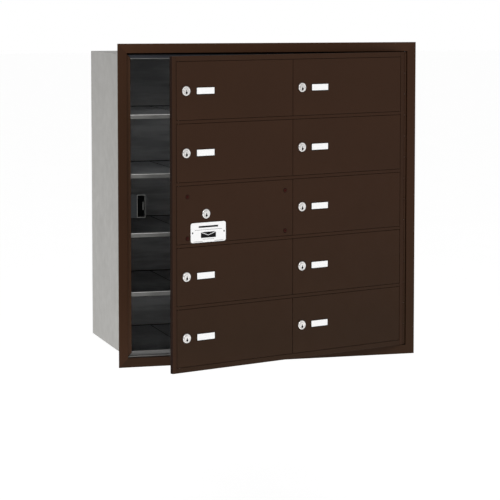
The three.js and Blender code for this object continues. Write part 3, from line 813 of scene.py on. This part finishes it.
def trim_profile(has_stop):
    """Points are (distance in from the outer edge, depth from the front)."""
    leg = TRIM_FACE - TRIM_THICK
    points = [(0, TRIM_CHAMFER), (TRIM_CHAMFER, 0), (TRIM_FACE, 0)]
    if has_stop:
        points += [
            (TRIM_FACE, STOP_FRONT), (TRIM_FACE + STOP_WIDTH, STOP_FRONT),
            (TRIM_FACE + STOP_WIDTH, STOP_FRONT + STOP_THICK), (TRIM_FACE, STOP_FRONT + STOP_THICK),
        ]
    points += [(TRIM_FACE, TRIM_LEG), (leg, TRIM_LEG), (leg, TRIM_THICK), (0, TRIM_THICK)]
    return rounded(points, TRIM_EDGE, 3)


def trim_side(side, finish, inward, along, edge_distance, half_length, has_stop=False):
    """One mitred length of the trim. A point further in has a shorter run."""
    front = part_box("trim_top")[0].y
    bm = bmesh.new()
    ends = []
    for direction in (-1, 1):
        ring = []
        for distance, depth in trim_profile(has_stop):
            reach = direction * (half_length - distance)
            point = inward * (distance - edge_distance) + along * reach
            ring.append(bm.verts.new((point.x, front + depth, point.z)))
        ends.append(ring)
    for face in bridge(bm, *ends):
        middle = face.calc_center_median()
        # The stop's faces take the second finish, a much lighter bronze: painted light.
        if inward.dot(middle) + edge_distance > TRIM_FACE + TRIM_EDGE:
            face.material_index = 1
    for ring in ends:
        bmesh.ops.triangulate(bm, faces=[bm.faces.new(ring)])
    add_piece(f"trim_length_{side}", bm, [finish, stop_lit_paint], "housing",
              replaces=[f"trim_{side}"])


STILE_FACE = 11 * MM
REBATE_WIDTH = 9 * MM
REBATE_FRONT = 4.6 * MM
STILE_EDGE = 0.6 * MM
RAIL_SHADE_REACH = 4 * MM
RAIL_SHADE_THICK = 0.26 * MM
RAIL_SHADE_INSET = 1 * MM
RAIL_SHADE_CLEAR = 0.03 * MM
FRAME_EDGE = 0.5 * MM
RAIL_EDGE = 0.4 * MM
DOOR_HALF = 357 * MM


def stile(side, direction):
    """An upright of the door, rebated behind the tenant doors.

    Direction is +1 where the doors lie to its right. Its narrow outer side and the side facing the
    doors are darker than its front, as painted shade.
    """
    low, high = shut_box(f"door_{side}_stile")
    outer = low.x if direction > 0 else high.x
    inner = outer + direction * STILE_FACE
    rebate = inner + direction * REBATE_WIDTH
    front, back = low.y, high.y
    outline = [
        (outer, front), (inner, front), (inner, front + REBATE_FRONT),
        (rebate, front + REBATE_FRONT), (rebate, back), (outer, back),
    ]
    bm = bmesh.new()
    faces = add_prism(bm, rounded(outline, STILE_EDGE, 3), low.z, high.z, SMALL_EDGE)
    for face in faces:
        middle = face.calc_center_median()
        if abs(middle.x - outer) < ON_FACE:
            face.material_index = 1
        if abs(middle.x - inner) < ON_FACE:
            face.material_index = 2
    materials = [stile_shaded_paint, shaded_paint, gap_shade_paint]
    door_piece(f"door_stile_{side}", bm, materials, replaces=[f"door_{side}_stile"])


def rail_gap_shades():
    """Thin black strips behind the rails, which fill the gaps round the doors with painted shade."""
    stile_left = shut_box("door_left_stile")[1].x
    stile_right = shut_box("door_right_stile")[0].x
    rails = ["door_top_rail", "door_bottom_rail"] + [f"door_rail_{n}" for n in range(1, 5)]
    bm = bmesh.new()
    for rail in rails:
        low, high = shut_box(rail)
        back = rectangle(stile_left + RAIL_SHADE_INSET, stile_right - RAIL_SHADE_INSET,
                         max(low.z - RAIL_SHADE_REACH, -DOOR_HALF), min(high.z + RAIL_SHADE_REACH, DOOR_HALF))
        add_prism(bm, back, high.y + RAIL_SHADE_CLEAR, high.y + RAIL_SHADE_THICK, place=ALONG_Y)
    door_piece("door_rail_gap_shades", bm, [shading_fill])


def painted_frame():
    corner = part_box("trim_top")[1]
    half_width, half_height = corner.x, corner.z
    x, z = Vector((1, 0, 0)), Vector((0, 0, 1))
    trim_side("top", top_lit_paint, -z, x, half_height, half_width)
    trim_side("bottom", paint, z, x, half_height, half_width)
    trim_side("left", left_lit_paint, x, z, half_width, half_height, has_stop=True)
    trim_side("right", paint, -x, z, half_width, half_height)
    for node in ("door_mullion", "door_top_rail", "door_bottom_rail"):
        finish_node(node, paint, FRAME_EDGE)
    stile("left", 1)
    stile("right", -1)
    for number in range(1, 5):
        finish_node(f"door_rail_{number}", paint, RAIL_EDGE)
    rail_gap_shades()


# ---- Continuous hinge ----

KNUCKLES = 14
KNUCKLE_RADIUS = 4.1 * MM
KNUCKLE_BORE = 1.75 * MM
KNUCKLE_GAP = 0.6 * MM
LEAF_SHEET = 1.1 * MM
PIN_RADIUS = 1.6 * MM
HINGE_LEAF_EDGE = 0.25 * MM
HINGE_HALF = 343 * MM
LEAF_CLEAR = 0.3 * MM
KNUCKLE_EASE = 0.4 * MM


def add_knuckles(bm, low, high, first, x, y):
    """Every second knuckle of the row, each a rolled sleeve with eased ends."""
    length = (high - low) / KNUCKLES
    for index in range(first, KNUCKLES, 2):
        bottom = low + index * length + KNUCKLE_GAP / 2
        top = low + (index + 1) * length - KNUCKLE_GAP / 2
        add_prism(bm, circle(x, y, KNUCKLE_RADIUS, 32), bottom, top, KNUCKLE_EASE,
                  holes=[circle(x, y, KNUCKLE_BORE, 16)])


def hinge():
    low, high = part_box("hinge_pin")
    x, y = HINGE_POINT.x, HINGE_POINT.y
    bm = bmesh.new()
    add_knuckles(bm, low.z, high.z, 0, x, y)
    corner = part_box("hinge_fixed_leaf")[1]
    plate = rectangle(corner.x - LEAF_SHEET, corner.x, y + 0.7 * KNUCKLE_RADIUS, corner.y)
    add_prism(bm, plate, -HINGE_HALF, HINGE_HALF, HINGE_LEAF_EDGE)
    add_piece("hinge_wall_leaf", bm, [paint], "housing",
              replaces=["hinge_fixed_leaf"])

    bm = bmesh.new()
    add_prism(bm, circle(x, y, PIN_RADIUS, 24), low.z, high.z, SMALL_EDGE)
    add_piece("hinge_pin_rod", bm, [zinc], "housing", replaces=["hinge_pin"])

    bm = bmesh.new()
    add_knuckles(bm, low.z, high.z, 1, x, y)
    leaf_low, leaf_high = shut_box("hinge_moving_leaf")
    stile_high = shut_box("door_right_stile")[1]
    left = stile_high.x + LEAF_CLEAR
    front = leaf_high.y - LEAF_SHEET
    bend = [
        (left, y), (left + LEAF_SHEET, y), (left + LEAF_SHEET, leaf_high.y),
        (leaf_low.x, leaf_high.y), (leaf_low.x, front), (left, front),
    ]
    add_prism(bm, bend, leaf_low.z, leaf_high.z, HINGE_LEAF_EDGE)
    door_piece("hinge_door_leaf", bm, [paint], replaces=["hinge_moving_leaf"])


# ---- Tenant doors ----

LEAF_THICK = 3 * MM
LEAF_EDGE = 0.55 * MM
PIVOT_LENGTH = 2.6 * MM
PIVOT_RADIUS = 1 * MM
PIVOT_INSET = 2 * MM
PIVOT_SUNK = 0.5 * MM
LOCK_HOLE = 9.7 * MM
TAG_FROM_LOCK = 55.1 * MM
TAG_DROP = 0.8 * MM
TAG_SIZE = (48.8 * MM, 14.5 * MM)
TAG_THICK = 0.7 * MM
TAG_RIM = 1 * MM
TAG_CORNER = 1.4 * MM
CARD_SLIP = 0.1 * MM
CARD_EDGE = 0.15 * MM


def darken_rim(faces):
    """Gives a plate's narrow edges, and its upright front roundings, the second material, as painted
    shade of the gaps round the plate.
    """
    for face in faces:
        face.normal_update()
        is_edge = abs(face.normal.y) < 0.3
        is_rounding = abs(face.normal.x) > 0.3 and face.normal.y < 0
        if is_edge or is_rounding:
            face.material_index = 1


def tenant_door(number):
    node = f"box_door_{number}"
    low, high = shut_box(node)
    lock = shut_point(f"box_lock_{number}_turn")
    bottom = low.z + PIVOT_LENGTH
    top = high.z - PIVOT_LENGTH
    bm = bmesh.new()
    outline = rounded(rectangle(low.x, high.x, bottom, top), CORNER)
    leaf = add_prism(bm, outline, low.y, low.y + LEAF_THICK, LEAF_EDGE,
                     holes=[circle(lock.x, lock.z, LOCK_HOLE, 32)], steps=3, place=ALONG_Y)
    darken_rim(leaf)
    pivot = circle(high.x - PIVOT_INSET, low.y + PIVOT_INSET, PIVOT_RADIUS, 16)
    add_prism(bm, pivot, low.z, bottom + PIVOT_SUNK, FINE_EDGE)
    add_prism(bm, pivot, top - PIVOT_SUNK, high.z, FINE_EDGE)
    door_piece(f"tenant_door_{number}", bm, [paint, gap_shade_paint], body=node, replaces=[node])
    tag(number, lock)


def tag(number, lock):
    """A blank white name card in a thin near-black ring, which stands for the shade round its edge.
    """
    x = lock.x + TAG_FROM_LOCK
    z = lock.z - TAG_DROP
    half_width, half_height = TAG_SIZE[0] / 2, TAG_SIZE[1] / 2
    front = DOOR_FRONT - TAG_THICK
    body = f"box_door_{number}"
    bm = bmesh.new()
    outer = centred(x, z, half_width + TAG_RIM, half_height + TAG_RIM)
    inner = centred(x, z, half_width, half_height)
    add_prism(bm, rounded(outer, TAG_CORNER), front, DOOR_FRONT + OVERLAP, FINE_EDGE,
              holes=[rounded(inner, CORNER)], place=ALONG_Y)
    door_piece(f"tag_shade_ring_{number}", bm, [ink], body=body)
    bm = bmesh.new()
    face = centred(x, z, half_width - CARD_SLIP, half_height - CARD_SLIP)
    add_prism(bm, rounded(face, CORNER), front + CARD_SLIP, DOOR_FRONT + OVERLAP, CARD_EDGE,
              place=ALONG_Y)
    door_piece(f"tag_card_{number}", bm, [card], body)


# ---- Cam locks ----

HEAD_RADIUS = 11 * MM
HEAD_PROUD = 4.2 * MM
HEAD_SEAT = 0.02 * MM
SLEEVE_RADIUS = 9.5 * MM
SLEEVE_END = 10.6 * MM
THREAD_START = 3.2 * MM
CLIP_HALVES = (10.8 * MM, 13 * MM)
CLIP_CORNER = 2 * MM
CLIP_FRONT = LEAF_THICK + 0.05 * MM
CLIP_BACK = LEAF_THICK + 1.4 * MM
CLIP_BITE = 0.4 * MM
PLUG_RADIUS = 7.2 * MM
PLUG_BORE = PLUG_RADIUS + 0.2 * MM
PLUG_RIM = 0.45 * MM
BORE_START = -0.2 * MM
PLUG_FACE = 4.5 * MM
BARREL_RADIUS = PLUG_RADIUS - 0.1 * MM
KEYWAY_DEEP = 2.5 * MM
KEYWAY_FLOOR = 0.3 * MM
KEYWAY_HALF = 0.8 * MM
KEYWAY_TOP = 1.6 * MM
KEYHOLE_RADIUS = 2.8 * MM
KEYHOLE_DROP = 3.9 * MM
KEYHOLE_STEPS = 12
CAM_FRONT = 11 * MM
CAM_THICK = 1.8 * MM
CAM_HALF = 5.5 * MM
CAM_REACH = 26 * MM
CAM_SHOULDER = 5 * MM
CAM_TOP = 7 * MM
CAM_TOP_HALF = 3 * MM
CAM_CORNER = 2.5 * MM
CAM_EDGE = 0.25 * MM
NUT_RADIUS = 5.2 * MM
STUD_RADIUS = 2.4 * MM
SCREW_END = 15 * MM
NUT_END = SCREW_END - 0.8 * MM


def keyhole(x, z):
    """An upright keyway that widens at its lower end."""
    opening = math.degrees(math.asin(KEYWAY_HALF / KEYHOLE_RADIUS))
    points = [(x + KEYWAY_HALF, z + KEYWAY_TOP), (x - KEYWAY_HALF, z + KEYWAY_TOP)]
    for step in range(KEYHOLE_STEPS + 1):
        angle = math.radians(90 + opening + (360 - 2 * opening) * step / KEYHOLE_STEPS)
        points.append((
            x + KEYHOLE_RADIUS * math.cos(angle),
            z - KEYHOLE_DROP + KEYHOLE_RADIUS * math.sin(angle),
        ))
    return points


def thread(radius, start, end, pitch=1 * MM, depth=0.35 * MM):
    """A lathe profile of shallow thread ridges."""
    points = []
    count = int((end - start) / pitch)
    for index in range(count):
        at = start + index * pitch
        points += [(radius - depth, at), (radius, at + pitch / 2)]
    points.append((radius - depth, start + count * pitch))
    return points


def lock_head(proud, radius):
    """A bezel: bright rounded ring with a shallow dish inside it."""
    face = -proud
    return [
        (PLUG_BORE, BORE_START),
        (PLUG_BORE, face + 0.55 * MM),
        (PLUG_RADIUS + 0.35 * MM, face + 0.4 * MM),
        (radius - 2.5 * MM, face + 0.08 * MM),
        (radius - 2.2 * MM, face),
        (radius - 1.3 * MM, face + 0.05 * MM),
        (radius - 0.7 * MM, face + 0.35 * MM),
        (radius - 0.25 * MM, face + 0.85 * MM),
        (radius, min(face + 1.6 * MM, -0.5 * MM)),
        (radius, -0.15 * MM),
        (radius - 0.15 * MM, 0),
    ]


def lock_body(number):
    node = f"box_lock_body_{number}"
    lock = shut_point(f"box_lock_{number}_turn")
    body = f"box_door_{number}"
    bm = bmesh.new()
    profile = lock_head(HEAD_PROUD, HEAD_RADIUS)
    profile += [(SLEEVE_RADIUS, HEAD_SEAT)]
    profile += thread(SLEEVE_RADIUS, THREAD_START, SLEEVE_END)
    profile += [(PLUG_BORE, SLEEVE_END), (PLUG_BORE, BORE_START)]
    add_lathe(bm, profile, (lock.x, lock.z), place=ON_DOOR)
    clip = rounded(centred(lock.x, lock.z, *CLIP_HALVES), CLIP_CORNER)
    add_on_door(bm, clip, CLIP_FRONT, CLIP_BACK, SMALL_EDGE,
                holes=[circle(lock.x, lock.z, SLEEVE_RADIUS - CLIP_BITE, 32)])
    door_piece(f"lock_sleeve_{number}", bm, [nickel], body, [node])


def add_plug_face(bm, x, z, front):
    """The plug's face and its keyway, which is dark on its floor and walls."""
    plate = add_on_door(bm, circle(x, z, PLUG_RADIUS), front, front + KEYWAY_DEEP, SMALL_EDGE,
                        holes=[keyhole(x, z)])
    floor = add_on_door(bm, circle(x, z, PLUG_RADIUS - SMALL_EDGE), front + KEYWAY_DEEP,
                        front + KEYWAY_DEEP + KEYWAY_FLOOR)
    walls = []
    for face in plate:
        face.normal_update()
        middle = face.calc_center_median()
        from_axis = math.hypot(middle.x - x, middle.z - z)
        if abs(face.normal.y) < 0.3 and from_axis < PLUG_RADIUS - PLUG_RIM:
            walls.append(face)
    for face in floor + walls:
        face.material_index = 1


def lock_plug(number):
    node = f"box_lock_plug_{number}"
    lock = shut_point(f"box_lock_{number}_turn")
    x, z = lock.x, lock.z
    bm = bmesh.new()
    front = -PLUG_FACE
    add_plug_face(bm, x, z, front)
    barrel_front = front + KEYWAY_DEEP + KEYWAY_FLOOR
    add_on_door(bm, circle(x, z, BARREL_RADIUS), barrel_front, CAM_FRONT, FAINT_EDGE)
    cam_outline = [
        (x - CAM_HALF, z - CAM_REACH), (x + CAM_HALF, z - CAM_REACH),
        (x + CAM_HALF, z + CAM_SHOULDER), (x + CAM_TOP_HALF, z + CAM_TOP),
        (x - CAM_TOP_HALF, z + CAM_TOP), (x - CAM_HALF, z + CAM_SHOULDER),
    ]
    cam_back = CAM_FRONT + CAM_THICK
    add_on_door(bm, rounded(cam_outline, CAM_CORNER), CAM_FRONT, cam_back, CAM_EDGE)
    add_on_door(bm, circle(x, z, NUT_RADIUS, 6), cam_back, NUT_END, SMALL_EDGE)
    add_on_door(bm, circle(x, z, STUD_RADIUS, 24), NUT_END, SCREW_END, SMALL_EDGE)
    door_piece(f"lock_plug_{number}", bm, [nickel, hollow], f"box_plug_{number}",
               [node])


# ---- Carrier's lock panel ----

MASTER_PROUD = 1.4 * MM
MASTER_PLUG_FACE = MASTER_PROUD + 0.3 * MM
MASTER_RADIUS = 10.8 * MM
MASTER_SLEEVE_END = 5 * MM
CRANK_DISC_RADIUS = 16 * MM
CRANK_DISC_THICK = 3 * MM
CRANK_GAP = 0.3 * MM
CRANK_PIN_RADIUS = 2 * MM
CRANK_SIDE = 9 * MM
SCREW_PLACES = ((-305.8, 41), (-27.2, 41), (-305.8, -53.5), (-27.2, -53.5))
SCREW_RADIUS = 3.8 * MM
SCREW_PROUD = 0.9 * MM
SCREW_ROUND = 0.6 * MM
CROSS_HALF = 0.55 * MM
CROSS_REACH = 1.9 * MM
RECESS_RADIUS = 2.4 * MM
RECESS_PROUD = 0.15 * MM
DIMPLE_RADIUS = 5.2 * MM
DIMPLE_PROUD = 0.12 * MM
LATCH_EDGE = 0.4 * MM


def panel_screw(number, x, z):
    """A painted pan-head screw with a cross recess."""
    bm = bmesh.new()
    cross = []
    for quarter in range(4):
        turn = math.radians(45 + 90 * quarter)
        for a, b in ((CROSS_REACH, -CROSS_HALF), (CROSS_REACH, CROSS_HALF), (CROSS_HALF, CROSS_HALF)):
            cosine, sine = math.cos(turn), math.sin(turn)
            cross.append((x + a * cosine - b * sine, z + a * sine + b * cosine))
    add_on_door(bm, circle(x, z, SCREW_RADIUS, 32), -SCREW_PROUD, OVERLAP, SCREW_ROUND,
                holes=[cross], steps=3)
    floor = add_on_door(bm, circle(x, z, RECESS_RADIUS, 24), -RECESS_PROUD, OVERLAP)
    dimple = add_on_door(bm, circle(x, z, DIMPLE_RADIUS, 32), -DIMPLE_PROUD, OVERLAP, FAINT_EDGE,
                         holes=[circle(x, z, SCREW_RADIUS - SMALL_EDGE, 32)])
    # The cross recess's floor and a ring round the head are near-black: painted shade.
    for face in floor + dimple:
        face.material_index = 1
    door_piece(f"panel_screw_{number}", bm, [screw_paint, gap_shade_paint])


def lock_panel():
    low, high = shut_box("lock_panel")
    lock = shut_point("master_lock_turn")
    bm = bmesh.new()
    outline = rounded(rectangle(low.x, high.x, low.z, high.z), CORNER)
    plate = add_prism(bm, outline, low.y, high.y, LEAF_EDGE,
                      holes=[circle(lock.x, lock.z, LOCK_HOLE, 32)], steps=3, place=ALONG_Y)
    darken_rim(plate)
    door_piece("lock_panel_plate", bm, [paint, gap_shade_paint], replaces=["lock_panel"])
    for number, (x, z) in enumerate(SCREW_PLACES, start=1):
        panel_screw(number, x * MM, z * MM)


PLATE_CORNER = 6 * MM
PLATE_EDGE = 0.25 * MM
RIVET_SIDE = 44 * MM


def label_plate():
    """A white plate on two rivets. It carries an envelope sign and plain rules."""
    low, high = shut_box("label_plate")
    centre = (low + high) / 2
    rivets = [(centre.x + side * RIVET_SIDE, centre.z) for side in (-1, 1)]
    bm = bmesh.new()
    outline = rounded(rectangle(low.x, high.x, low.z, high.z), PLATE_CORNER, 8)
    add_prism(bm, outline, low.y, high.y, PLATE_EDGE, place=ALONG_Y)
    door_piece("service_plate", bm, [enamel], replaces=["label_plate"])
    bm = bmesh.new()
    for x, z in rivets:
        profile = [(0, low.y - 0.45 * MM), (1.2 * MM, low.y - 0.35 * MM),
                   (1.9 * MM, low.y - 0.1 * MM), (2 * MM, low.y + 0.2 * MM)]
        add_lathe(bm, profile, (x, z), sides=20)
    door_piece("plate_rivets", bm, [ink])
    bm = bmesh.new()
    add_plate_marks(bm, centre.x, centre.z, low.y)
    door_piece("plate_marks", bm, [ink])


# Plain rules on the plate: (left, right, bottom, top) from its centre.
PLATE_RULES = (
    (-27 * MM, 27 * MM, 11 * MM, 15 * MM),
    (-38 * MM, 38 * MM, 5.7 * MM, 6.4 * MM),
    (-16 * MM, 16 * MM, -15.8 * MM, -15.2 * MM),
    (-42 * MM, -16 * MM, -20.6 * MM, -19.9 * MM),
    (17 * MM, 42 * MM, -20.6 * MM, -19.9 * MM),
)


def add_plate_marks(bm, x, z, face):
    """A solid envelope sign with a light flap line, among plain rules."""
    front = face - 0.08 * MM
    back = face + 0.05 * MM
    half_width, top, bottom = 21 * MM, z + 1 * MM, z - 12.3 * MM
    flap_tip = z - 6 * MM
    gap = 1.1 * MM
    body = [
        (x - half_width, top - gap), (x, flap_tip - gap), (x + half_width, top - gap),
        (x + half_width, bottom), (x - half_width, bottom),
    ]
    flap = [(x - half_width + gap, top), (x + half_width - gap, top), (x, flap_tip)]
    rules = [
        rectangle(x + left, x + right, z + low, z + high)
        for left, right, low, high in PLATE_RULES
    ]
    for outline in [body, flap] + rules:
        add_prism(bm, outline, front, back, place=ALONG_Y)


def carrier_lock():
    lock = shut_point("master_lock_turn")
    bm = bmesh.new()
    profile = lock_head(MASTER_PROUD, MASTER_RADIUS)
    profile += [(SLEEVE_RADIUS, HEAD_SEAT), (SLEEVE_RADIUS, MASTER_SLEEVE_END)]
    profile += [(PLUG_BORE, MASTER_SLEEVE_END), (PLUG_BORE, BORE_START)]
    add_lathe(bm, profile, (lock.x, lock.z), place=ON_DOOR)
    door_piece("carrier_lock_bezel", bm, [nickel], replaces=["master_lock_body"])
    carrier_plug(lock.x, lock.z)
    finish_node("master_latch", zinc, LATCH_EDGE)


def carrier_plug(x, z):
    """The turning plug, with the disc and the pin that drive the latch."""
    latch_front = shut_box("master_latch")[0].y - DOOR_FRONT
    pin_end = shut_box("master_lock_plug")[1].y - DOOR_FRONT
    disc_back = latch_front - CRANK_GAP
    disc_front = disc_back - CRANK_DISC_THICK
    front = -MASTER_PLUG_FACE
    bm = bmesh.new()
    add_plug_face(bm, x, z, front)
    barrel_front = front + KEYWAY_DEEP + KEYWAY_FLOOR
    add_on_door(bm, circle(x, z, BARREL_RADIUS), barrel_front, disc_front)
    add_on_door(bm, circle(x, z, CRANK_DISC_RADIUS), disc_front, disc_back, SMALL_EDGE)
    pin = circle(x + CRANK_SIDE, z + CRANK_SIDE, CRANK_PIN_RADIUS, 24)
    add_on_door(bm, pin, disc_back, pin_end, SMALL_EDGE)
    door_piece("carrier_lock_plug", bm, [nickel, hollow], "master_plug",
               ["master_lock_plug"])


# ---- Stage, light and camera ----

FLOOR_BELOW = 0.75
FLOOR_HALF = 60
FLOOR_GLOW = 0.46


def stage():
    floor_z = cad_box[0].z - FLOOR_BELOW
    bm = bmesh.new()
    corners = [(-1, -1), (1, -1), (1, 1), (-1, 1)]
    bm.faces.new([bm.verts.new((a * FLOOR_HALF, b * FLOOR_HALF, floor_z)) for a, b in corners])
    mesh = bpy.data.meshes.new("floor")
    bm.to_mesh(mesh)
    bm.free()
    finish = Finish("pale_floor", roughness=0.9, specular=0.1)
    finish.colour(finish.blend(finish.noise(3), grey(0.9), grey(0.93)))
    finish.wire(finish.shader, Emission_Color=(1, 1, 1, 1), Emission_Strength=FLOOR_GLOW)
    mesh.materials.append(finish.material)
    floor = bpy.data.objects.new("floor", mesh)
    bpy.context.scene.collection.objects.link(floor)


def world_light(seen, level, overhead):
    """A pale room, brighter overhead. The camera sees it as plain white."""
    world = bpy.data.worlds.new("studio")
    bpy.context.scene.world = world
    world.use_nodes = True
    tree = world.node_tree
    tree.nodes.clear()
    out = tree.nodes.new("ShaderNodeOutputWorld")
    mix = tree.nodes.new("ShaderNodeMixShader")
    path = tree.nodes.new("ShaderNodeLightPath")
    room = tree.nodes.new("ShaderNodeBackground")
    plain = tree.nodes.new("ShaderNodeBackground")
    plain.inputs["Strength"].default_value = seen
    for shade in (room, plain):
        shade.inputs["Color"].default_value = (1, 1, 1, 1)
    direction = tree.nodes.new("ShaderNodeSeparateXYZ")
    height = tree.nodes.new("ShaderNodeMapRange")
    height.inputs["To Min"].default_value = level
    height.inputs["To Max"].default_value = overhead
    position = tree.nodes.new("ShaderNodeTexCoord")
    tree.links.new(position.outputs["Generated"], direction.inputs[0])
    tree.links.new(direction.outputs["Z"], height.inputs["Value"])
    tree.links.new(height.outputs["Result"], room.inputs["Strength"])
    tree.links.new(path.outputs["Is Camera Ray"], mix.inputs[0])
    tree.links.new(room.outputs[0], mix.inputs[1])
    tree.links.new(plain.outputs[0], mix.inputs[2])
    tree.links.new(mix.outputs[0], out.inputs["Surface"])


def area_light(name, at, aim, size, power):
    data = bpy.data.lights.new(name, "AREA")
    data.shape = "RECTANGLE"
    data.size, data.size_y = size
    data.energy = power
    lamp = bpy.data.objects.new(name, data)
    bpy.context.scene.collection.objects.link(lamp)
    lamp.location = at
    lamp.rotation_euler = (Vector(aim) - Vector(at)).to_track_quat("-Z", "Y").to_euler()


CAMERA_AT = (-1.4608, -4.753, 0.4775)
CAMERA_TURN = 16.55
CAMERA_TILT = 4.73
CAMERA_LENS = 150.51
CAMERA_SHIFT = -0.15


def camera():
    data = bpy.data.cameras.new("camera")
    data.lens = CAMERA_LENS
    data.shift_y = CAMERA_SHIFT
    data.clip_end = 200
    eye = bpy.data.objects.new("camera", data)
    bpy.context.scene.collection.objects.link(eye)
    eye.location = CAMERA_AT
    turn, tilt = math.radians(CAMERA_TURN), math.radians(CAMERA_TILT)
    ahead = Vector((
        math.sin(turn) * math.cos(tilt),
        math.cos(turn) * math.cos(tilt),
        -math.sin(tilt),
    ))
    eye.rotation_euler = ahead.to_track_quat("-Z", "Y").to_euler()
    bpy.context.scene.camera = eye


# ---- Build ----

bpy.context.scene.view_settings.view_transform = "Standard"
camera()
stage()
world_light(seen=1.0, level=0.29, overhead=0.72)
area_light("key", at=(-1.7, -5.0, 3.4), aim=(0, 0, 0), size=(3.2, 2.4), power=95)
area_light("fill", at=(3.0, -4.6, 2.4), aim=(0, 0, 0), size=(2.0, 2.0), power=15)

housing()
strike()
painted_frame()
hinge()
lock_panel()
label_plate()
carrier_lock()
for box in TENANT_BOXES:
    tenant_door(box)
    lock_body(box)
    lock_plug(box)
